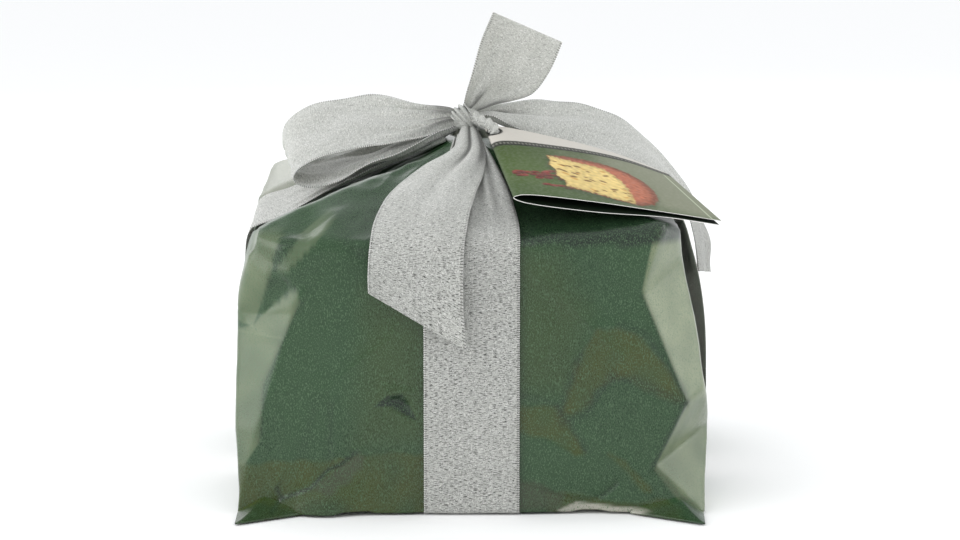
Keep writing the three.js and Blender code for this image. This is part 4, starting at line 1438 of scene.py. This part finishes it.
class ParcelColours(bpy.types.PropertyGroup):
    """Colours of the film, ribbon, card, mould and loaf."""

    film: colour_setting("Film", "The film's green", (0.016, 0.052, 0.016, 1))
    # painted shade on fold hollows, on the ears and on the front-left roof
    film_painted_shade: colour_setting("Film dark", "Its shaded folds", (0.008, 0.030, 0.009, 1))
    # the deepest painted shade, in creases, the dent and under the band and card; it also darkens
    # mottling, grain and card fibre
    film_deep_shade_and_mottle: colour_setting("Film hollow", "Its darkest folds", (0.004, 0.014, 0.006, 1))
    film_pressed: colour_setting("Film pressed", "Film on the loaf", (0.038, 0.052, 0.003, 1))
    film_grey: colour_setting("Film grey", "Film with a hem behind it", (0.042, 0.050, 0.026, 1))
    # a pale hem, and painted reflection on the roof
    film_pale_hem_and_reflection: colour_setting("Film bare", "One layer with light behind", (0.48, 0.46, 0.40, 1))
    film_grain: colour_setting("Film grain", "Lighter linen grain", (0.060, 0.115, 0.055, 1))
    # painted reflection on the corner facets
    film_painted_reflection: colour_setting("Film thin", "One layer off the loaf", (0.17, 0.205, 0.115, 1))
    ribbon: colour_setting("Ribbon", "Silver thread", (0.475, 0.48, 0.45, 1))
    ribbon_shadow: colour_setting("Ribbon shadow", "Between threads", (0.25, 0.255, 0.235, 1))
    # dark weft, and painted shade in the ribbon's folds
    ribbon_weft_and_shade: colour_setting("Ribbon dark", "Dark weft that shows through", (0.055, 0.055, 0.05, 1))
    ribbon_glint: colour_setting("Ribbon glint", "Glinting thread", (0.68, 0.68, 0.65, 1))
    card_paper: colour_setting("Card paper", "Bare card", (0.82, 0.81, 0.78, 1))
    card_inside: colour_setting("Card inside", "Inner pages", (0.006, 0.009, 0.005, 1))
    mould: colour_setting("Mould", "Brown mould paper", (0.17, 0.075, 0.035, 1))
    mould_dark: colour_setting("Mould dark", "Its shaded fibres", (0.07, 0.028, 0.014, 1))
    crust: colour_setting("Crust", "Golden brown crust", (0.36, 0.14, 0.04, 1))
    crust_dark: colour_setting("Crust dark", "Deeper bake", (0.11, 0.036, 0.012, 1))
    crumb: colour_setting("Crumb", "Yellow crumb in cracks", (0.72, 0.50, 0.20, 1))
    stage: colour_setting("Stage", "Pale floor", (0.93, 0.93, 0.93, 1))


def settings():
    """The sizes and colours of the current scene."""
    scene = bpy.context.scene
    return scene.parcel_sizes, scene.parcel_colours


def woven_ribbon():
    """The ribbon's finish, made once and used by several pieces."""
    return bpy.data.materials.get("woven_lame") or ribbon_finish(settings()[1])


# ------------------------------------------------------------------ operators


class PARCEL_OT_loaf(bpy.types.Operator):
    """Makes the baked loaf and its fluted paper mould"""

    bl_idname = "parcel.loaf"
    bl_label = "Loaf and mould"

    def execute(self, context):
        sizes, colours = settings()
        points, crack = loaf_surface()
        crust, layers = [crust_finish(colours)], {"crack": crack}
        loaf = new_piece("panettone_crust", points, crust, closed=True, flip=True, layers=layers)
        settle(loaf, "crust", "panettone_loaf")
        paper = [mould_finish(colours)]
        mould = new_piece("paper_mould", mould_surface(sizes), paper, closed=True, flip=True)
        settle(mould, "mould_paper", "baking_mould")
        return {"FINISHED"}


def film_piece(name, points, finish, colours, flip=False):
    """Makes a closed grid of film, with its colours kept on its points."""
    layers = {"tone": film_tone(points, colours)}
    return new_piece(name, points, [finish], closed=True, flip=flip, layers=layers)


class PARCEL_OT_wrapper(bpy.types.Operator):
    """Makes the folded film skin, its base folds and its corner ears"""

    bl_idname = "parcel.wrapper"
    bl_label = "Film wrapper"

    def execute(self, context):
        sizes, colours = settings()
        film = film_finish(colours)
        skin = film_piece("film_wrapper", wrapper_surface(sizes), film, colours)
        settle(skin, "film", "wrapper")
        base = film_piece("film_base_folds", base_surface(), film, colours, flip=True)
        thicken(base, sizes.film_thickness)
        extras = [settle(base, "film")]
        for seed, (name, shape) in enumerate(EARS.items(), 33):
            ear = film_piece(name, ear_surface(*shape, seed), film, colours)
            extras.append(settle(ear, "film"))
        return {"FINISHED"}


class PARCEL_OT_ribbon(bpy.types.Operator):
    """Makes the two turns of ribbon round the parcel"""

    bl_idname = "parcel.ribbon"
    bl_label = "Ribbon round the parcel"

    def execute(self, context):
        lengthwise = [*FRONT_BAND, (BAND_CENTRE_X, 0, 0.4), *BACK_BAND]
        crosswise = [*LEFT_BAND, (0, 0, 1.5), *RIGHT_BAND]
        surface = strand(*band_edges(lengthwise, across_x=True), seed=51, **BAND_FOLDS)
        nodes = ("ribbon_front_band", "ribbon_under_lengthwise", "ribbon_back_band")
        ribbon_piece("ribbon_turn_lengthwise", surface, nodes)
        surface = strand(*band_edges(crosswise, across_x=False), seed=52, **BAND_FOLDS)
        nodes = ("ribbon_left_band", "ribbon_under_crosswise", "ribbon_right_band")
        ribbon_piece("ribbon_turn_crosswise", surface, nodes)
        return {"FINISHED"}


BOW_STRANDS = {
    # edges, pleats, seed, slack, ripple, camber; then CAD node, how it is held, what it rests on
    "bow_loop": (
        (LEFT_LOOP, 4, 53, 0.8, 0.35, 0.0),
        ("bow_left_loop", "gathered", "knot_core"),
    ),
    "bow_tail_front": (
        (FRONT_TAIL, 2, 54, 0.2, 0.25, 0.3),
        ("bow_front_tail", "hung", "ribbon_turn_lengthwise"),
    ),
    "bow_tail_right": (
        (RIGHT_TAIL, 2, 55, 0.35, 0.3, 0.0),
        ("bow_right_tail", "hung", "knot_core"),
    ),
    "bow_tail_up": (
        (UP_TAIL, 2, 56, 0.3, 0.3, 0.0),
        ("bow_up_tail", "gathered", "knot_core"),
    ),
}


class PARCEL_OT_bow(bpy.types.Operator):
    """Makes the knot, the loop and the three tails of the bow"""

    bl_idname = "parcel.bow"
    bl_label = "Knot and bow"

    def execute(self, context):
        points, lie = knot_core()
        core = new_piece("knot_core", points, [woven_ribbon()], closed=True, uv=lie)
        settle(core, "ribbon")
        core.parent = ribbon_piece(
            "knot_turn", knot_wrap(), ("ribbon_knot",)
        )
        for name, ((edges, *folds), (node, held, rests)) in BOW_STRANDS.items():
            points, lie, length, shade = strand(*edges, BOW_COLUMNS, *folds)
            if name == "bow_tail_right":
                # painted shade on its hanging end
                shade = shade + 0.3 * smooth_step(lie[..., 1], 0.72 * length, 0.84 * length)
            ribbon_piece(name, (points, lie, length, shade), (node,))
        return {"FINISHED"}


class PARCEL_OT_leaflet(bpy.types.Operator):
    """Makes the folded leaflet and the strand that ties it to the knot"""

    bl_idname = "parcel.leaflet"
    bl_label = "Leaflet and tie"

    def execute(self, context):
        sizes, colours = settings()
        points, colour = leaflet_surface()
        faces = grid_faces(*points.shape[:2], flip=True)
        faces = open_hole(points, faces, HOLE, HOLE_RADIUS)
        cards = [make(colours) for make in (card_cover_finish, card_inside_finish, card_edge_finish)]
        layers = {"picture": colour}
        leaflet = new_piece("folded_leaflet", points, cards, faces=faces, layers=layers)
        thicken(leaflet, sizes.card_thickness, rim_slot=2, inner_slot=1)
        settle(leaflet, "card", "leaflet")
        points, lie = tie_surface()
        tie = new_piece("leaflet_strand", points, [woven_ribbon()], closed=True, uv=lie)
        settle(tie, "ribbon", "leaflet_tie")
        return {"FINISHED"}


CAMERA_RISE = math.radians(9)
CAMERA_REACH = 1.1
AIM = np.array([0.0024, 0.0, 0.0873])
LENS, SENSOR = 93.75, 36.0  # focal length and film width, in millimetres
LIGHT_AIM = np.array([0.0, 0.0, 0.08])
SOFT_BOXES = {
    # place, width and height in metres, and power in watts
    "key_box": ((-0.75, -1.15, 1.25), (0.9, 0.9), 1.5),
    "left_box": ((-1.3, -0.35, 0.5), (1.4, 1.0), 10),
    "right_box": ((1.3, 0.1, 0.6), (1.0, 1.2), 7),
    "back_box": ((-0.5, 1.4, 0.9), (1.2, 0.7), 4),
}
EVEN_HEADING, EVEN_STRENGTH, EVEN_SPREAD = (-0.3, -0.55, 0.78), 0.45, math.radians(70)
WORLD_COLOUR, WORLD_STRENGTH = (0.97, 0.985, 1.0, 1), 0.95
FLOOR_HALF, FLOOR_Z = 9000.0, -0.4


def placed_lamp(lamp, heading):
    """Puts a lamp into the scene, turned so that it shines from a heading."""
    source = bpy.data.objects.new(lamp.name, lamp)
    bpy.context.scene.collection.objects.link(source)
    around = math.atan2(heading[1], heading[0]) + math.pi / 2
    source.rotation_euler = (math.acos(heading[2] / np.linalg.norm(heading)), 0, around)
    return source


def soft_light(name, place, size, power):
    """A soft box at a place, turned to the parcel."""
    lamp = bpy.data.lights.new(name, "AREA")
    lamp.shape = "RECTANGLE"
    lamp.size, lamp.size_y = size
    lamp.energy = power
    placed_lamp(lamp, np.array(place) - LIGHT_AIM).location = place


def even_light():
    """A wide, very soft light from one direction, which lights the whole floor alike."""
    lamp = bpy.data.lights.new("even_light", "SUN")
    lamp.energy = EVEN_STRENGTH
    lamp.angle = EVEN_SPREAD
    placed_lamp(lamp, EVEN_HEADING).visible_glossy = False


def pale_world():
    """A pale studio all round."""
    world = bpy.data.worlds.new("studio")
    bpy.context.scene.world = world
    world.use_nodes = True
    background = world.node_tree.nodes["Background"].inputs
    background["Color"].default_value = WORLD_COLOUR
    background["Strength"].default_value = WORLD_STRENGTH


def front_camera():
    """The camera in front of the parcel, looking slightly down on it."""
    lens = bpy.data.cameras.new("camera")
    lens.lens = LENS
    lens.sensor_width = SENSOR
    camera = bpy.data.objects.new("camera", lens)
    bpy.context.scene.collection.objects.link(camera)
    back = np.array([0, -math.cos(CAMERA_RISE), math.sin(CAMERA_RISE)])
    camera.location = AIM + CAMERA_REACH * back
    camera.rotation_euler = (math.pi / 2 - CAMERA_RISE, 0, 0)
    bpy.context.scene.camera = camera


class PARCEL_OT_stage(bpy.types.Operator):
    """Makes the pale floor, the soft lights and the camera"""

    bl_idname = "parcel.stage"
    bl_label = "Stage"

    def execute(self, context):
        side = np.linspace(-FLOOR_HALF, FLOOR_HALF, 25)
        x, y = np.meshgrid(side, side)
        points = np.stack([x, y, np.full_like(x, FLOOR_Z)], -1)
        floor = new_piece("stage_floor", points, [floor_finish(settings()[1])])
        pale_world()
        for name, (place, size, power) in SOFT_BOXES.items():
            soft_light(name, place, size, power)
        even_light()
        bpy.context.scene.view_settings.view_transform = "Standard"
        front_camera()
        return {"FINISHED"}


PIECE_OPERATORS = (
    PARCEL_OT_stage,
    PARCEL_OT_loaf,
    PARCEL_OT_wrapper,
    PARCEL_OT_ribbon,
    PARCEL_OT_bow,
    PARCEL_OT_leaflet,
)


class PARCEL_PT_builder(bpy.types.Panel):
    """Lists the parcel's pieces and settings"""

    bl_label = "Wrapped panettone"
    bl_idname = "PARCEL_PT_builder"
    bl_space_type = "VIEW_3D"
    bl_region_type = "UI"
    bl_category = "Parcel"

    def draw(self, context):
        for operator in PIECE_OPERATORS:
            self.layout.operator(operator.bl_idname)
        for group in settings():
            for name in group.__annotations__:
                self.layout.prop(group, name)


CLASSES = (ParcelSizes, ParcelColours, *PIECE_OPERATORS, PARCEL_PT_builder)


def register():
    """Adds the classes and the scene's settings."""
    for kind in CLASSES:
        bpy.utils.register_class(kind)
    bpy.types.Scene.parcel_sizes = bpy.props.PointerProperty(type=ParcelSizes)
    bpy.types.Scene.parcel_colours = bpy.props.PointerProperty(type=ParcelColours)


def unregister():
    """Removes them again."""
    del bpy.types.Scene.parcel_colours
    del bpy.types.Scene.parcel_sizes
    for kind in reversed(CLASSES):
        bpy.utils.unregister_class(kind)


def main():
    """Builds every piece."""
    register()
    bpy.ops.parcel.stage()
    bpy.ops.parcel.loaf()
    bpy.ops.parcel.wrapper()
    bpy.ops.parcel.ribbon()
    bpy.ops.parcel.bow()
    bpy.ops.parcel.leaflet()


if __name__ == "__main__":
    main()
